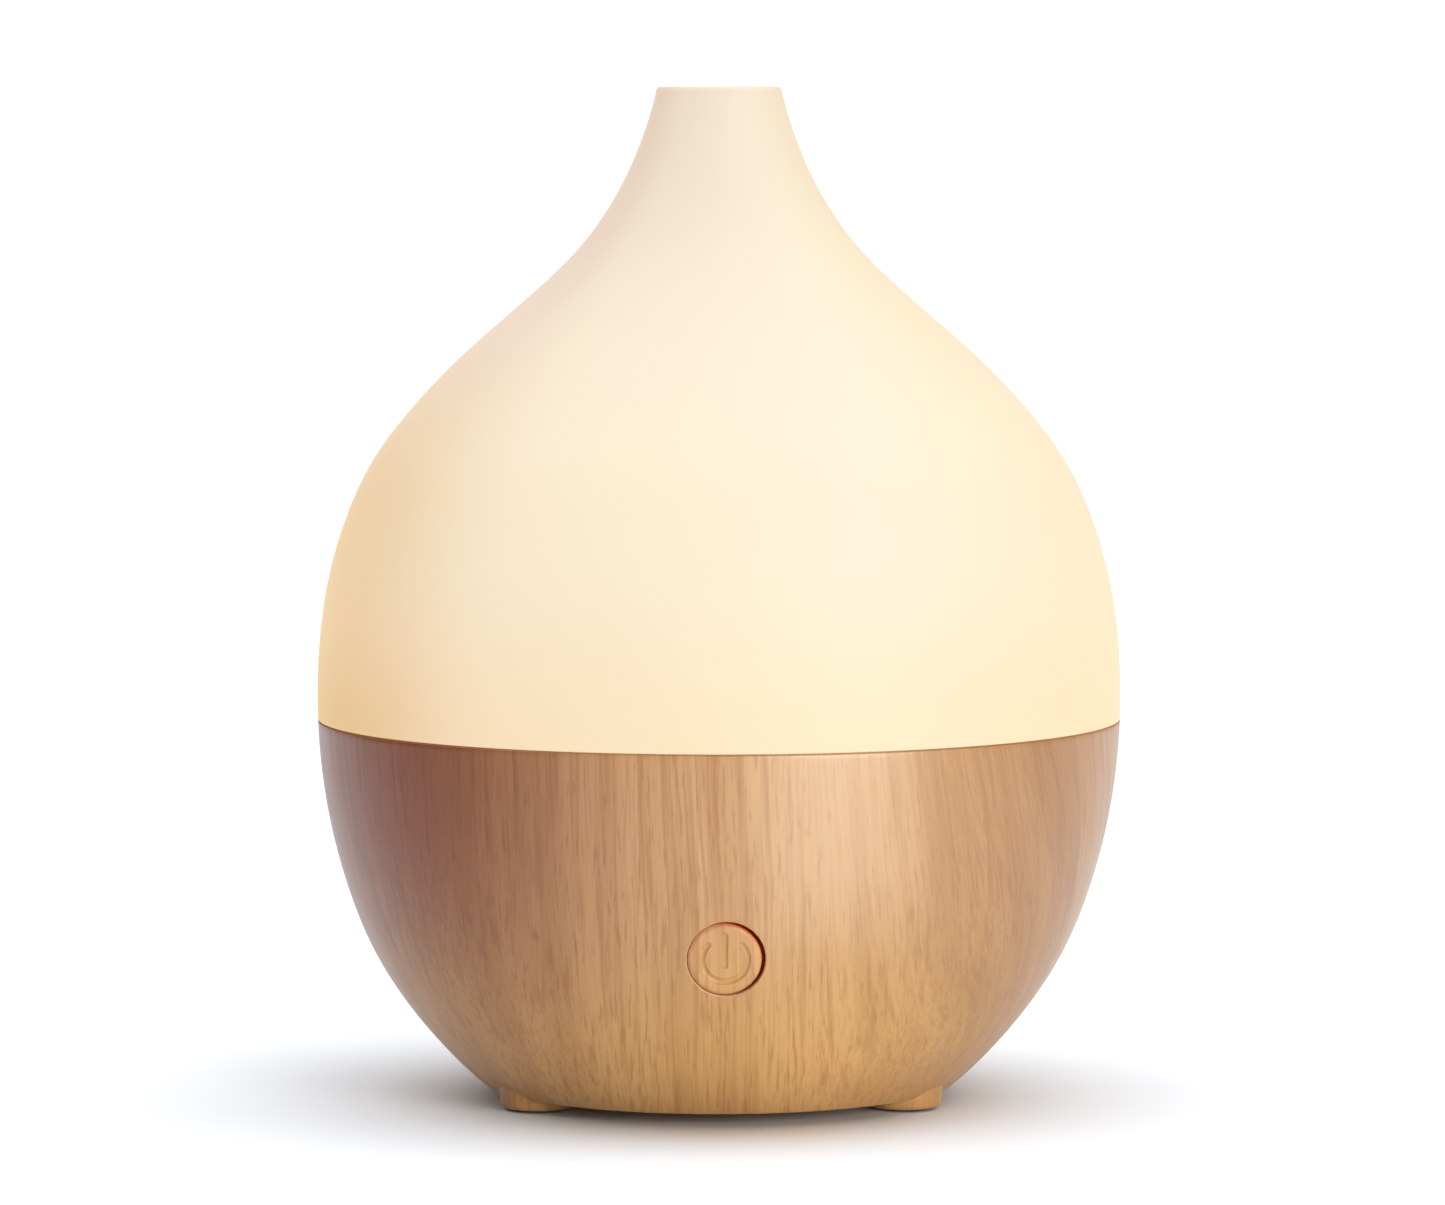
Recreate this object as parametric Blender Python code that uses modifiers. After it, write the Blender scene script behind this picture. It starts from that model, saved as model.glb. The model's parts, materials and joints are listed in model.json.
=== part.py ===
"""Ultrasonic cool mist humidifier, modelled as the pieces it comes apart into.

The body is an onion-shaped pot: a frosted cover with an open nozzle, which lifts off a wood-finish bowl.
The bowl holds a water tank, a piezo disc under it that makes the mist, and a fan that blows the mist out.
The origin is on the table under the body's axis, +Z is up, and the button faces -Y.
Sizes and places are in millimetres. The shape helpers turn them into Blender's metres.
"""
import math

import bmesh
import bpy
from mathutils import Matrix, Vector

MM = 0.001
GAP = 0.3                        # clearance between neighbouring pieces
WELD = 0.00001                   # merge distance, in metres
BIG_SIDES = 36                   # sides of the large turned shells
MID_SIDES = 20                   # sides of caps, rings and ducts
SMALL_SIDES = 8                  # sides of screws, holes and posts

# Outer curve of the body: height, radius, and growth of the radius with height
BODY_CURVE = (
    (2.1, 38.0, 1.20),
    (12.0, 47.8, 0.84),
    (30.0, 58.6, 0.38),
    (65.0, 65.0, 0.0),
    (100.0, 57.7, -0.49),
    (118.0, 43.7, -1.0),
    (140.0, 20.5, -0.75),
    (163.4, 9.9, -0.25),
)
BODY_TOP = BODY_CURVE[-1][0]
BODY_BOTTOM = BODY_CURVE[0][0]
SEAM_HEIGHT = 61.5               # middle of the joint line between cover and bowl
OUTSIDE = 62.0                   # Y that lies beyond the bowl's wall at the button and the jack

COVER_WALL = 2.0
NOZZLE_BORE = 8.0
NOZZLE_LIP = 9.1                 # outer radius of the nozzle's flat top
NOZZLE_EDGE_DROP = 0.9           # height of the rounding at the nozzle's edge
GUIDE_TOP = BODY_TOP - 1.0
GUIDE_BOTTOM = 88.0
GUIDE_RADIUS = 7.6
GUIDE_WALL = 1.4
GUIDE_FLARE = 14.0               # outer radius at the guide's lower mouth
GUIDE_FLARE_HEIGHT = 14.0

SHELL_WALL = 2.4
FLOOR_TOP = 6.2
FLOOR_INNER_RADIUS = 39.3
LEDGE_TOP = 55.5                 # ledge that carries the tank's flange
LEDGE_INNER = 60.0
RIM_INNER = 62.7                 # inside of the bowl above the ledge
INTAKE_RADIUS = 14.5             # round opening in the bowl's floor under the fan
RECESS_RADIUS = 24.3             # seat of the intake plate
RECESS_TOP = 4.4
COVER_SCREW_ORBIT = 20.5
SLOT_PITCH = 3.7
SLOT_WIDTH = 2.0
SLOT_REACH = 13.0                # radius of the slotted area

FOOT_ORBIT = 33.9
FOOT_ANGLES = (210.0, 330.0, 90.0)
FOOT_RADIUS = 6.3
FOOT_BOTTOM = 0.4
FOOT_BEVEL = 0.5
PAD_RADIUS = 4.2
PAD_TOP = 1.4
HEAD_SEAT_RADIUS = 2.6           # seat of a tank screw's head inside a foot
HEAD_SEAT_TOP = 4.2

TANK_RIM = 66.0
TANK_FLANGE = 62.4               # outer radius of the rim that centres the cover
TANK_UPPER = 59.6                # outer radius of the upper basin
TANK_WELL = 41.0                 # outer radius of the lower well
TANK_WALL = 2.0
TANK_FLOOR = 25.0                # underside of the well's floor
SHOULDER_LOW = 36.5
SHOULDER_HIGH = 47.0
SHOULDER_LIFT = 1.2              # raises the inside of the sloping shoulder
FLANGE_BOTTOM = 57.3
TANK_BOSS_RADIUS = 3.3
TANK_PILOT_TOP = 15.5

COLUMN_AT = (-25.1, 14.5)        # air column, off the axis towards the back left
COLUMN_RADIUS = 6.2
COLUMN_BORE = 4.4
CAP_HEIGHT = 5.3                 # splash cap above the tank's rim
CAP_WALL = 1.2
CAP_PLUG_DEPTH = 4.0

DISC_RADIUS = 10.0               # 20 mm piezo disc
DISC_BOTTOM = 23.1
DISC_TOP = 24.0
DISC_WINDOW = 8.6
SEAL_RADIUS = 11.7
SEAL_BOTTOM = 22.0
SOCKET_INNER = 12.0              # ring under the tank that holds the seal
SOCKET_OUTER = 16.0
SOCKET_BOTTOM = 22.1
CLAMP_RADIUS = 15.8
CLAMP_BOTTOM = 20.7
CLAMP_TOP = 21.7
CLAMP_ORBIT = 14.0
CLAMP_ANGLES = (90.0, 210.0, 330.0)
CLAMP_HOLE = 1.1

LED_RING_INNER = 16.5
LED_RING_OUTER = 22.0
LED_RING_BOTTOM = 22.4
LED_RING_TOP = 23.4
LED_ORBIT = 19.25
LED_COUNT = 6
LED_SIZE = (3.5, 2.8, 1.0)
PEG_ANGLES = (0.0, 120.0, 240.0)
PEG_RADIUS = 0.9

FAN_SIZE = 30.0                  # 30 x 30 x 8 mm axial fan
FAN_BOTTOM = 6.5
FAN_TOP = 14.5
FAN_BORE = 14.2
FAN_HOLE = 12.0                  # offset of the fan's corner holes from its axis
FAN_HOLE_RADIUS = 1.4
FAN_PLATE = 1.0                  # thickness of the fan's hub plate and struts
STRUT_WIDTH = 2.4
FAN_BLADES = 7
BLADE_SIZE = (6.4, 5.4, 0.7)     # reach, chord, thickness
BLADE_AT = (10.3, 0.0, 11.0)
BLADE_PITCH = 42.0
DUCT_RADIUS = 14.7               # duct over the fan, and over the foot of the air column
DUCT_FAR_RADIUS = 7.0
DUCT_TOP = 18.8
DUCT_WALL = 1.0
DUCT_INLET = 13.4
DUCT_FLANGE = 14.5               # half width of the duct's square flange

BOARD_LOW = (-19.0, -35.5, 9.0)
BOARD_HIGH = (19.0, -17.5, 10.4)
BOARD_SCREWS = ((-15.5, -28.0), (15.5, -28.0))
BOARD_POST = 2.8
SMALL_HOLE = 1.2                 # clearance round the 1.8 mm screws
PART_SEAT = BOARD_HIGH[2] + GAP  # underside of what stands on the board

BUTTON_HEIGHT = 29.2
BUTTON_RADIUS = 5.75
BUTTON_HOLE = 6.1
BUTTON_FLANGE = 7.4
BUTTON_FLANGE_DEPTH = 1.0
BUTTON_BACK = -50.4
BUTTON_COLLAR = 8.0
SYMBOL_RADIUS = 3.45
SYMBOL_BAR = (3.6, -1.0)         # heights of the bar's ends above the button's centre
SYMBOL_GROOVE = 0.35
SYMBOL_START = 122.0             # the arc is open over its top
SYMBOL_SWEEP = 296.0
PLUNGER_RADIUS = 1.6
PLUNGER_END = -47.6
SWITCH_FRONT = -49.6             # 6 mm tact switch
SWITCH_BACK = -46.1
SWITCH_HALF = 3.0
SWITCH_POST_X = 10.5
SWITCH_POST_RADIUS = 2.2
SWITCH_BOARD_LOW = (-13.0, -45.8, 23.5)
SWITCH_BOARD_HIGH = (13.0, -44.6, 35.0)

JACK_HEIGHT = 30.0               # 5.5 mm power socket
JACK_HALF = (4.5, 5.5)           # half its width and half its height
JACK_FRONT = 53.0
JACK_BACK = 42.0
JACK_END = 56.0
JACK_HOLE = 5.2
JACK_BORE = 2.9
JACK_PIN = 1.0
JACK_SEAT_HALF = 7.5
RAIL_WIDTH = 1.5

# Screws: head radius, head height, shank radius, length under the head
TANK_SCREW = (2.3, 1.9, 1.2, 10.1)
COVER_SCREW = (1.9, 0.8, 0.9, 3.0)
CLAMP_SCREW = (1.6, 1.1, 0.8, 3.7)
FAN_SCREW = (1.9, 1.4, 1.1, 11.2)
BOARD_SCREW = (1.8, 1.1, 0.9, 3.8)
SWITCH_SCREW = (1.8, 1.1, 0.9, 4.8)


def clear_scene():
    for old in list(bpy.data.objects):
        bpy.data.objects.remove(old, do_unlink=True)


def new_collection(name):
    group = bpy.data.collections.new(name)
    bpy.context.scene.collection.children.link(group)
    return group


clear_scene()
PARTS = new_collection("mist_humidifier")
CUTTERS = new_collection("cutters")


def make_material(name, color, roughness, metallic=0.0):
    material = bpy.data.materials.new(name)
    material.use_nodes = True
    shader = material.node_tree.nodes["Principled BSDF"]
    shader.inputs["Base Color"].default_value = (*color, 1.0)
    shader.inputs["Roughness"].default_value = roughness
    shader.inputs["Metallic"].default_value = metallic
    return material


def smoothing_group():
    """Geometry nodes that shade faces smooth and keep edges steeper than 35 degrees sharp."""
    group = bpy.data.node_groups.new("smooth_by_angle", "GeometryNodeTree")
    group.interface.new_socket("Geometry", in_out="INPUT", socket_type="NodeSocketGeometry")
    group.interface.new_socket("Geometry", in_out="OUTPUT", socket_type="NodeSocketGeometry")
    start = group.nodes.new("NodeGroupInput")
    end = group.nodes.new("NodeGroupOutput")
    faces = group.nodes.new("GeometryNodeSetShadeSmooth")
    edges = group.nodes.new("GeometryNodeSetShadeSmooth")
    angle = group.nodes.new("GeometryNodeInputMeshEdgeAngle")
    compare = group.nodes.new("FunctionNodeCompare")
    edges.domain = "EDGE"
    edges.inputs["Shade Smooth"].default_value = False
    compare.operation = "GREATER_THAN"
    compare.inputs["B"].default_value = math.radians(35.0)
    group.links.new(angle.outputs["Unsigned Angle"], compare.inputs["A"])
    group.links.new(compare.outputs["Result"], edges.inputs["Selection"])
    group.links.new(start.outputs["Geometry"], faces.inputs["Geometry"])
    group.links.new(faces.outputs["Geometry"], edges.inputs["Geometry"])
    group.links.new(edges.outputs["Geometry"], end.inputs["Geometry"])
    return group


# ---------------------------------------------------------------- shape helpers

def add_object(name, data, material=None):
    """Object in the parts collection, or in the cutters collection when it has no material."""
    piece = bpy.data.objects.new(name, data)
    if material:
        PARTS.objects.link(piece)
        data.materials.append(material)
    else:
        CUTTERS.objects.link(piece)
        piece.hide_render = True
        piece.display_type = "WIRE"
    return piece


def turned(name, profile, material=None, sides=MID_SIDES, ring=True, at=(0.0, 0.0, 0.0)):
    """Piece turned about Z from (radius, height) points, which run down the outer side first."""
    points = [(radius * MM, 0.0, height * MM) for radius, height in profile]
    edges = [(i, i + 1) for i in range(len(points) - 1)]
    if ring:
        edges.append((len(points) - 1, 0))
    mesh = bpy.data.meshes.new(name)
    mesh.from_pydata(points, edges, [])
    piece = add_object(name, mesh, material)
    piece.location = Vector(at) * MM
    screw = piece.modifiers.new("Turn", "SCREW")
    screw.steps = sides
    screw.render_steps = sides
    screw.use_merge_vertices = True
    screw.merge_threshold = WELD
    screw.use_smooth_shade = True
    return piece


def rods(name, ends_and_radii, material=None, sides=SMALL_SIDES):
    """Round rods in one mesh, each given by its two ends and its radius."""
    mesh = bpy.data.meshes.new(name)
    shape = bmesh.new()
    for start, end, radius in ends_and_radii:
        start, end = Vector(start) * MM, Vector(end) * MM
        axis = end - start
        place = Matrix.Translation((start + end) / 2) @ axis.to_track_quat("Z", "Y").to_matrix().to_4x4()
        bmesh.ops.create_cone(shape, cap_ends=True, segments=sides, radius1=radius * MM,
                              radius2=radius * MM, depth=axis.length, matrix=place)
    shape.to_mesh(mesh)
    shape.free()
    return add_object(name, mesh, material)


def copies(name, pattern, places):
    """One mesh that repeats a turned pattern at several (x, y) places; the pattern itself is removed."""
    bpy.context.view_layer.update()
    graph = bpy.context.evaluated_depsgraph_get()
    master = bpy.data.meshes.new_from_object(pattern.evaluated_get(graph))
    shape = bmesh.new()
    for x, y in places:
        start = len(shape.verts)
        shape.from_mesh(master)
        bmesh.ops.translate(shape, verts=shape.verts[start:], vec=(x * MM, y * MM, 0.0))
    mesh = bpy.data.meshes.new(name)
    shape.to_mesh(mesh)
    shape.free()
    bpy.data.objects.remove(pattern)
    return add_object(name, mesh)


def upright(x, y, low, high, radius):
    """Vertical rod at (x, y), for rods()."""
    return (x, y, low), (x, y, high), radius


def blocks(name, corners, material=None, bevel=0.0):
    """Boxes in one mesh, each given by its lowest and highest corners."""
    mesh = bpy.data.meshes.new(name)
    shape = bmesh.new()
    for low, high in corners:
        low, high = Vector(low) * MM, Vector(high) * MM
        size = Matrix.Diagonal((*(high - low), 1.0))
        bmesh.ops.create_cube(shape, size=1.0, matrix=Matrix.Translation((low + high) / 2) @ size)
    shape.to_mesh(mesh)
    shape.free()
    piece = add_object(name, mesh, material)
    if bevel:
        edge = piece.modifiers.new("Edges", "BEVEL")
        edge.width = bevel * MM
    return piece


def curve_to_mesh(curve_object, material=None):
    """Closed mesh object in place of a curve object, so that it can be cut or joined."""
    bpy.context.view_layer.update()
    graph = bpy.context.evaluated_depsgraph_get()
    mesh = bpy.data.meshes.new_from_object(curve_object.evaluated_get(graph))
    shape = bmesh.new()
    shape.from_mesh(mesh)
    bmesh.ops.remove_doubles(shape, verts=shape.verts, dist=WELD)
    shape.to_mesh(mesh)
    shape.free()
    mesh.materials.clear()
    name = curve_object.name
    curve_object.name = name + "_curve"
    piece = add_object(name, mesh, material)
    piece.matrix_world = curve_object.matrix_world
    bpy.data.objects.remove(curve_object)
    return piece


def outline_solid(name, outline, low, high, material=None):
    """Flat outline in XY, given by its (x, y) points, as a solid between two heights."""
    curve = bpy.data.curves.new(name, "CURVE")
    curve.dimensions = "2D"
    curve.fill_mode = "BOTH"
    curve.extrude = (high - low) / 2 * MM
    spline = curve.splines.new("POLY")
    spline.points.add(len(outline) - 1)
    for point, (x, y) in zip(spline.points, outline):
        point.co = (x * MM, y * MM, 0.0, 1.0)
    spline.use_cyclic_u = True
    flat = bpy.data.objects.new(name, curve)
    CUTTERS.objects.link(flat)
    flat.location.z = (low + high) / 2 * MM
    return curve_to_mesh(flat, material)


def smooth_route(corners, spacing):
    """Points along a smooth curve through the given corners, about one spacing apart."""
    corners = [Vector(corner) for corner in corners]
    padded = [2 * corners[0] - corners[1], *corners, 2 * corners[-1] - corners[-2]]
    route = []
    for before, start, end, after in zip(padded, padded[1:], padded[2:], padded[3:]):
        steps = max(1, round((end - start).length / spacing))
        for i in range(steps):
            t = i / steps
            slope = (end - before) * t + (2 * before - 5 * start + 4 * end - after) * t ** 2
            route.append(start + (slope + (3 * start - before - 3 * end + after) * t ** 3) / 2)
    return [*route, corners[-1]]


def tube(name, corners, radius, material=None):
    """Round lead or groove along a smooth route."""
    route = smooth_route(corners, radius * 5.0)
    curve = bpy.data.curves.new(name, "CURVE")
    curve.dimensions = "3D"
    curve.bevel_depth = radius * MM
    curve.bevel_resolution = 2
    curve.use_fill_caps = True
    spline = curve.splines.new("POLY")
    spline.points.add(len(route) - 1)
    for point, place in zip(spline.points, route):
        point.co = (*(place * MM), 1.0)
    return add_object(name, curve, material)


def combine(piece, tool, operation):
    """Boolean of a piece with a tool, which moves to the cutters."""
    change = piece.modifiers.new(tool.name, "BOOLEAN")
    change.operation = operation
    change.solver = "EXACT"
    change.object = tool
    return piece


def cut(piece, tool):
    return combine(piece, tool, "DIFFERENCE")


def join(piece, tool):
    return combine(piece, tool, "UNION")


def across(x, start, end, height, radius):
    """Rod along Y at x and height, for rods()."""
    return (x, start, height), (x, end, height), radius


def on_circle(radius, degrees):
    angle = math.radians(degrees)
    return radius * math.cos(angle), radius * math.sin(angle)


def screw(name, size, at, direction="up"):
    """Pan head screw; at is the middle of the underside of its head."""
    head_radius, head_height, shank_radius, length = size
    profile = ((0.0, length), (shank_radius, length - shank_radius / 2), (shank_radius, 0.0),
               (head_radius, 0.0), (head_radius * 0.85, -head_height), (0.0, -head_height))
    piece = turned(name, profile, STEEL, sides=SMALL_SIDES, ring=False, at=at)
    turn = {"up": 0.0, "front": 90.0, "down": 180.0}[direction]
    piece.rotation_euler.x = math.radians(turn)
    return piece


# ---------------------------------------------------------------- body curve

def body_point(height):
    """Radius and slope of the body's outer curve at a height: a cubic through BODY_CURVE."""
    pairs = zip(BODY_CURVE, BODY_CURVE[1:])
    low, high = next((a, b) for a, b in pairs if height <= b[0])
    span = high[0] - low[0]
    t = (height - low[0]) / span
    rise = high[1] - low[1]
    a = span * (low[2] + high[2]) - 2 * rise
    b = 3 * rise - span * (2 * low[2] + high[2])
    radius = low[1] + span * low[2] * t + b * t ** 2 + a * t ** 3
    slope = low[2] + (2 * b * t + 3 * a * t ** 2) / span
    return radius, slope


def body_line(start, end, steps, inset=0.0):
    """(radius, height) points along the body's curve, moved in by inset at right angles to it."""
    line = []
    for i in range(steps + 1):
        height = start + (end - start) * i / steps
        radius, slope = body_point(height)
        shift = inset / math.hypot(1.0, slope)
        line.append((radius - shift, height + shift * slope))
    return line


def body_core(name, inset):
    """Solid of the body below the seam, made smaller by inset, that trims what is built inside the bowl."""
    line = body_line(SEAM_HEIGHT, BODY_BOTTOM + 3.0, 12, inset)
    return turned(name, [(0.0, line[0][1]), *line, (0.0, line[-1][1])], sides=BIG_SIDES, ring=False)


# ---------------------------------------------------------------- cover

def make_cover():
    bottom = SEAM_HEIGHT + GAP / 2
    top = BODY_TOP
    outer = body_line(top - NOZZLE_EDGE_DROP, bottom, 17)
    inner = body_line(bottom, top, 12, COVER_WALL)
    inner = [(max(radius, NOZZLE_BORE), height) for radius, height in inner]
    inner[0] = (inner[0][0], bottom)
    edge = ((NOZZLE_LIP, top), (NOZZLE_LIP + 0.55, top - 0.25))
    return turned("mist_cover", [*edge, *outer, *inner, (NOZZLE_BORE, top)], FROSTED, sides=BIG_SIDES)


def guide_side(radius, flare, rise):
    """One side of the guide's flared mouth, as (radius, height) points from the straight tube down."""
    swell = (0.0, 0.19, 0.66, 1.0)
    drops = (1.0, 0.57, 0.21, 0.0)
    return [(radius + (flare - radius) * share, GUIDE_BOTTOM + rise * drop + GUIDE_FLARE_HEIGHT * drop)
            for share, drop in zip(swell, drops)]


def make_mist_guide():
    """Chimney inside the cover: a straight tube with a flared lower mouth."""
    bore = GUIDE_RADIUS - GUIDE_WALL
    outside = guide_side(GUIDE_RADIUS, GUIDE_FLARE, 0.0)
    inside = guide_side(bore, GUIDE_FLARE - GUIDE_WALL, 0.5)
    profile = [(GUIDE_RADIUS, GUIDE_TOP), *outside, *reversed(inside), (bore, GUIDE_TOP)]
    return turned("mist_guide", profile, CLEAR)


# ---------------------------------------------------------------- bowl and what is under it

def foot_centres():
    return [on_circle(FOOT_ORBIT, angle) for angle in FOOT_ANGLES]


def make_foot_holes():
    """Stepped holes up through the feet: pad seat, screw head seat, clearance hole."""
    clearance, pad_seat = TANK_SCREW[2] + GAP, PAD_RADIUS + GAP
    above, below = FLOOR_TOP + 1.0, -1.0
    steps = ((0.0, above), (clearance, above), (clearance, HEAD_SEAT_TOP), (HEAD_SEAT_RADIUS, HEAD_SEAT_TOP),
             (HEAD_SEAT_RADIUS, PAD_TOP + GAP), (pad_seat, PAD_TOP + GAP), (pad_seat, below), (0.0, below))
    return copies("foot_holes", turned("foot_hole", steps, sides=16, ring=False), foot_centres())


def make_feet():
    """Short round feet with a broken lower edge; their tops are buried in the bowl's floor."""
    top = BODY_BOTTOM + 3.4
    steps = ((0.0, top), (FOOT_RADIUS, top), (FOOT_RADIUS, FOOT_BOTTOM + FOOT_BEVEL),
             (FOOT_RADIUS - FOOT_BEVEL, FOOT_BOTTOM), (0.0, FOOT_BOTTOM))
    return copies("feet", turned("foot", steps, ring=False), foot_centres())


def make_bowl_wall():
    """Wall, floor and ledge of the bowl, turned in one piece."""
    top = SEAM_HEIGHT - GAP / 2
    outer = body_line(top, BODY_BOTTOM, 12)
    under = ((RECESS_RADIUS, BODY_BOTTOM), (RECESS_RADIUS, RECESS_TOP), (INTAKE_RADIUS, RECESS_TOP),
             (INTAKE_RADIUS, FLOOR_TOP), (FLOOR_INNER_RADIUS, FLOOR_TOP))
    inner = body_line(BODY_BOTTOM + 3.0, LEDGE_TOP - 5.0, 7, SHELL_WALL)
    ledge = ((LEDGE_INNER, LEDGE_TOP - 1.5), (LEDGE_INNER, LEDGE_TOP), (RIM_INNER, LEDGE_TOP),
             (RIM_INNER, top))
    return turned("base_shell", [*outer, *under, *inner, *ledge], OAK, sides=BIG_SIDES)


def bowl_features():
    """Button collar, switch posts, and the jack's seat and rails, which grow inwards from the wall."""
    low, high = JACK_HEIGHT - 6.5, JACK_HEIGHT + 6.5
    rail_x, half_rail = JACK_HALF[0] + 0.5 + RAIL_WIDTH / 2, RAIL_WIDTH / 2
    collar_end, post_end = BUTTON_BACK - 1.3, SWITCH_BOARD_LOW[1] - GAP
    collar = rods("button_collar", [across(0, -OUTSIDE, collar_end, BUTTON_HEIGHT, BUTTON_COLLAR)],
                  sides=MID_SIDES)
    posts = rods("switch_posts", [across(side * SWITCH_POST_X, -OUTSIDE, post_end, BUTTON_HEIGHT,
                                         SWITCH_POST_RADIUS) for side in (-1, 1)])
    rails = blocks("jack_rails", [((side * rail_x - half_rail, JACK_BACK + 2.0, low),
                                   (side * rail_x + half_rail, OUTSIDE, high)) for side in (-1, 1)])
    seat = blocks("jack_seat", [((-JACK_SEAT_HALF, JACK_FRONT + GAP, low - 0.5),
                                 (JACK_SEAT_HALF, OUTSIDE, high + 0.5))])
    return collar, posts, rails, seat


def bowl_screw_holes():
    holes = [upright(x, y, FLOOR_TOP + 0.4, BOARD_LOW[2] + 1.0, SMALL_HOLE) for x, y in BOARD_SCREWS]
    holes += [upright(side * FAN_HOLE, side * FAN_HOLE, RECESS_TOP - 1.0, FLOOR_TOP + 1.0, FAN_HOLE_RADIUS)
              for side in (-1, 1)]
    holes += [upright(*on_circle(COVER_SCREW_ORBIT, angle), RECESS_TOP - 1.0, FLOOR_TOP + 1.0, SMALL_HOLE)
              for angle in FOOT_ANGLES]
    holes += [across(side * SWITCH_POST_X, -50.0, -44.0, BUTTON_HEIGHT, SMALL_HOLE) for side in (-1, 1)]
    return rods("shell_screw_holes", holes)


def make_base_shell():
    """Bowl: one turned wall with a floor and a ledge, then feet, posts, seats and holes."""
    shell = make_bowl_wall()
    core = body_core("shell_core", SHELL_WALL / 2)
    for feature in bowl_features():
        combine(feature, core, "INTERSECT")
        join(shell, feature)
    join(shell, rods("board_posts", [upright(x, y, FLOOR_TOP - 0.8, BOARD_LOW[2] - GAP, BOARD_POST)
                                     for x, y in BOARD_SCREWS]))
    join(shell, make_feet())
    cut(shell, make_foot_holes())
    cut(shell, bowl_screw_holes())
    cut(shell, rods("shell_round_holes", [across(0, -70, -48, BUTTON_HEIGHT, BUTTON_HOLE),
                                          across(0, 48, 70, JACK_HEIGHT, JACK_HOLE)], sides=MID_SIDES))
    return shell


def make_pads_and_tank_screws():
    edge = 0.3
    for i, (x, y) in enumerate(foot_centres(), 1):
        turned(f"foot_pad_{i}", ((0.0, PAD_TOP), (PAD_RADIUS, PAD_TOP), (PAD_RADIUS, edge),
                                 (PAD_RADIUS - edge, 0.0), (0.0, 0.0)), RUBBER, ring=False, at=(x, y, 0.0))
        screw(f"tank_screw_{i}", TANK_SCREW, (x, y, HEAD_SEAT_TOP - GAP))


def make_bottom_cover():
    """Round intake plate, level with the underside of the bowl, with parallel slots over the fan."""
    low, high, radius = BODY_BOTTOM, RECESS_TOP - GAP, RECESS_RADIUS - GAP
    plate = rods("bottom_cover", [upright(0, 0, low, high, radius)], DARK_PLASTIC, sides=32)
    slots = []
    for i in range(-3, 4):
        x = i * SLOT_PITCH
        reach = math.sqrt(SLOT_REACH ** 2 - x ** 2)
        slots.append(((x - SLOT_WIDTH / 2, -reach, low - 1.0), (x + SLOT_WIDTH / 2, reach, high + 1.0)))
    cut(plate, blocks("intake_slots", slots))
    head_seat, seat_top = COVER_SCREW[0] + GAP, low + 1.2
    steps = ((0.0, high + 1.0), (SMALL_HOLE, high + 1.0), (SMALL_HOLE, seat_top), (head_seat, seat_top),
             (head_seat, low - 1.0), (0.0, low - 1.0))
    spots = [on_circle(COVER_SCREW_ORBIT, angle) for angle in FOOT_ANGLES]
    seat = turned("bottom_screw_seat", steps, sides=SMALL_SIDES, ring=False)
    cut(plate, copies("bottom_screw_seats", seat, spots))
    for i, (x, y) in enumerate(spots, 1):
        screw(f"bottom_screw_{i}", COVER_SCREW, (x, y, seat_top - GAP))
    return plate


# ---------------------------------------------------------------- tank and mist maker

def make_water_tank():
    """Stepped basin with the disc's socket under it, screw bosses, and the air column through it."""
    wall = TANK_WALL
    outside = ((TANK_FLANGE, TANK_RIM), (TANK_FLANGE, FLANGE_BOTTOM), (TANK_UPPER, FLANGE_BOTTOM),
               (TANK_UPPER, SHOULDER_HIGH), (TANK_WELL, SHOULDER_LOW), (TANK_WELL, TANK_FLOOR),
               (SOCKET_OUTER, TANK_FLOOR), (SOCKET_OUTER, SOCKET_BOTTOM), (SOCKET_INNER, SOCKET_BOTTOM),
               (SOCKET_INNER, TANK_FLOOR), (DISC_WINDOW, TANK_FLOOR))
    well, upper, rim = TANK_WELL - wall, TANK_UPPER - wall, TANK_FLANGE - wall
    inside = ((DISC_WINDOW, TANK_FLOOR + wall), (well, TANK_FLOOR + wall),
              (well, SHOULDER_LOW + SHOULDER_LIFT), (upper, SHOULDER_HIGH + SHOULDER_LIFT),
              (upper, FLANGE_BOTTOM + wall), (rim, FLANGE_BOTTOM + wall), (rim, TANK_RIM))
    tank = turned("water_tank", [*outside, *inside], TANK_PLASTIC, sides=BIG_SIDES)
    root = TANK_FLOOR + wall / 2
    join(tank, rods("tank_bosses", [upright(x, y, FLOOR_TOP + GAP, root, TANK_BOSS_RADIUS)
                                    for x, y in foot_centres()]))
    peg_end = LED_RING_BOTTOM - 0.8
    join(tank, rods("led_pegs", [upright(*on_circle(LED_ORBIT, angle), peg_end, root, PEG_RADIUS)
                                 for angle in PEG_ANGLES]))
    join(tank, rods("air_column", [upright(*COLUMN_AT, root, TANK_RIM, COLUMN_RADIUS)], sides=MID_SIDES))
    cut(tank, rods("air_column_bore", [upright(*COLUMN_AT, TANK_FLOOR - 5.0, TANK_RIM + 4.0, COLUMN_BORE)],
                   sides=MID_SIDES))
    pilots = [upright(x, y, FLOOR_TOP - 1.0, TANK_PILOT_TOP, TANK_SCREW[2] + GAP) for x, y in foot_centres()]
    pilots += [upright(*on_circle(CLAMP_ORBIT, angle), SOCKET_BOTTOM - 1.0, TANK_FLOOR - 0.6, CLAMP_HOLE)
               for angle in CLAMP_ANGLES]
    cut(tank, rods("tank_pilots", pilots))
    return tank


def make_tank_seal():
    inner, outer = LEDGE_INNER + GAP, RIM_INNER - 2 * GAP
    low, high = LEDGE_TOP + GAP, FLANGE_BOTTOM - GAP
    return turned("tank_seal", ((outer, high), (outer, low), (inner, low), (inner, high)), SILICONE,
                  sides=BIG_SIDES)


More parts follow.
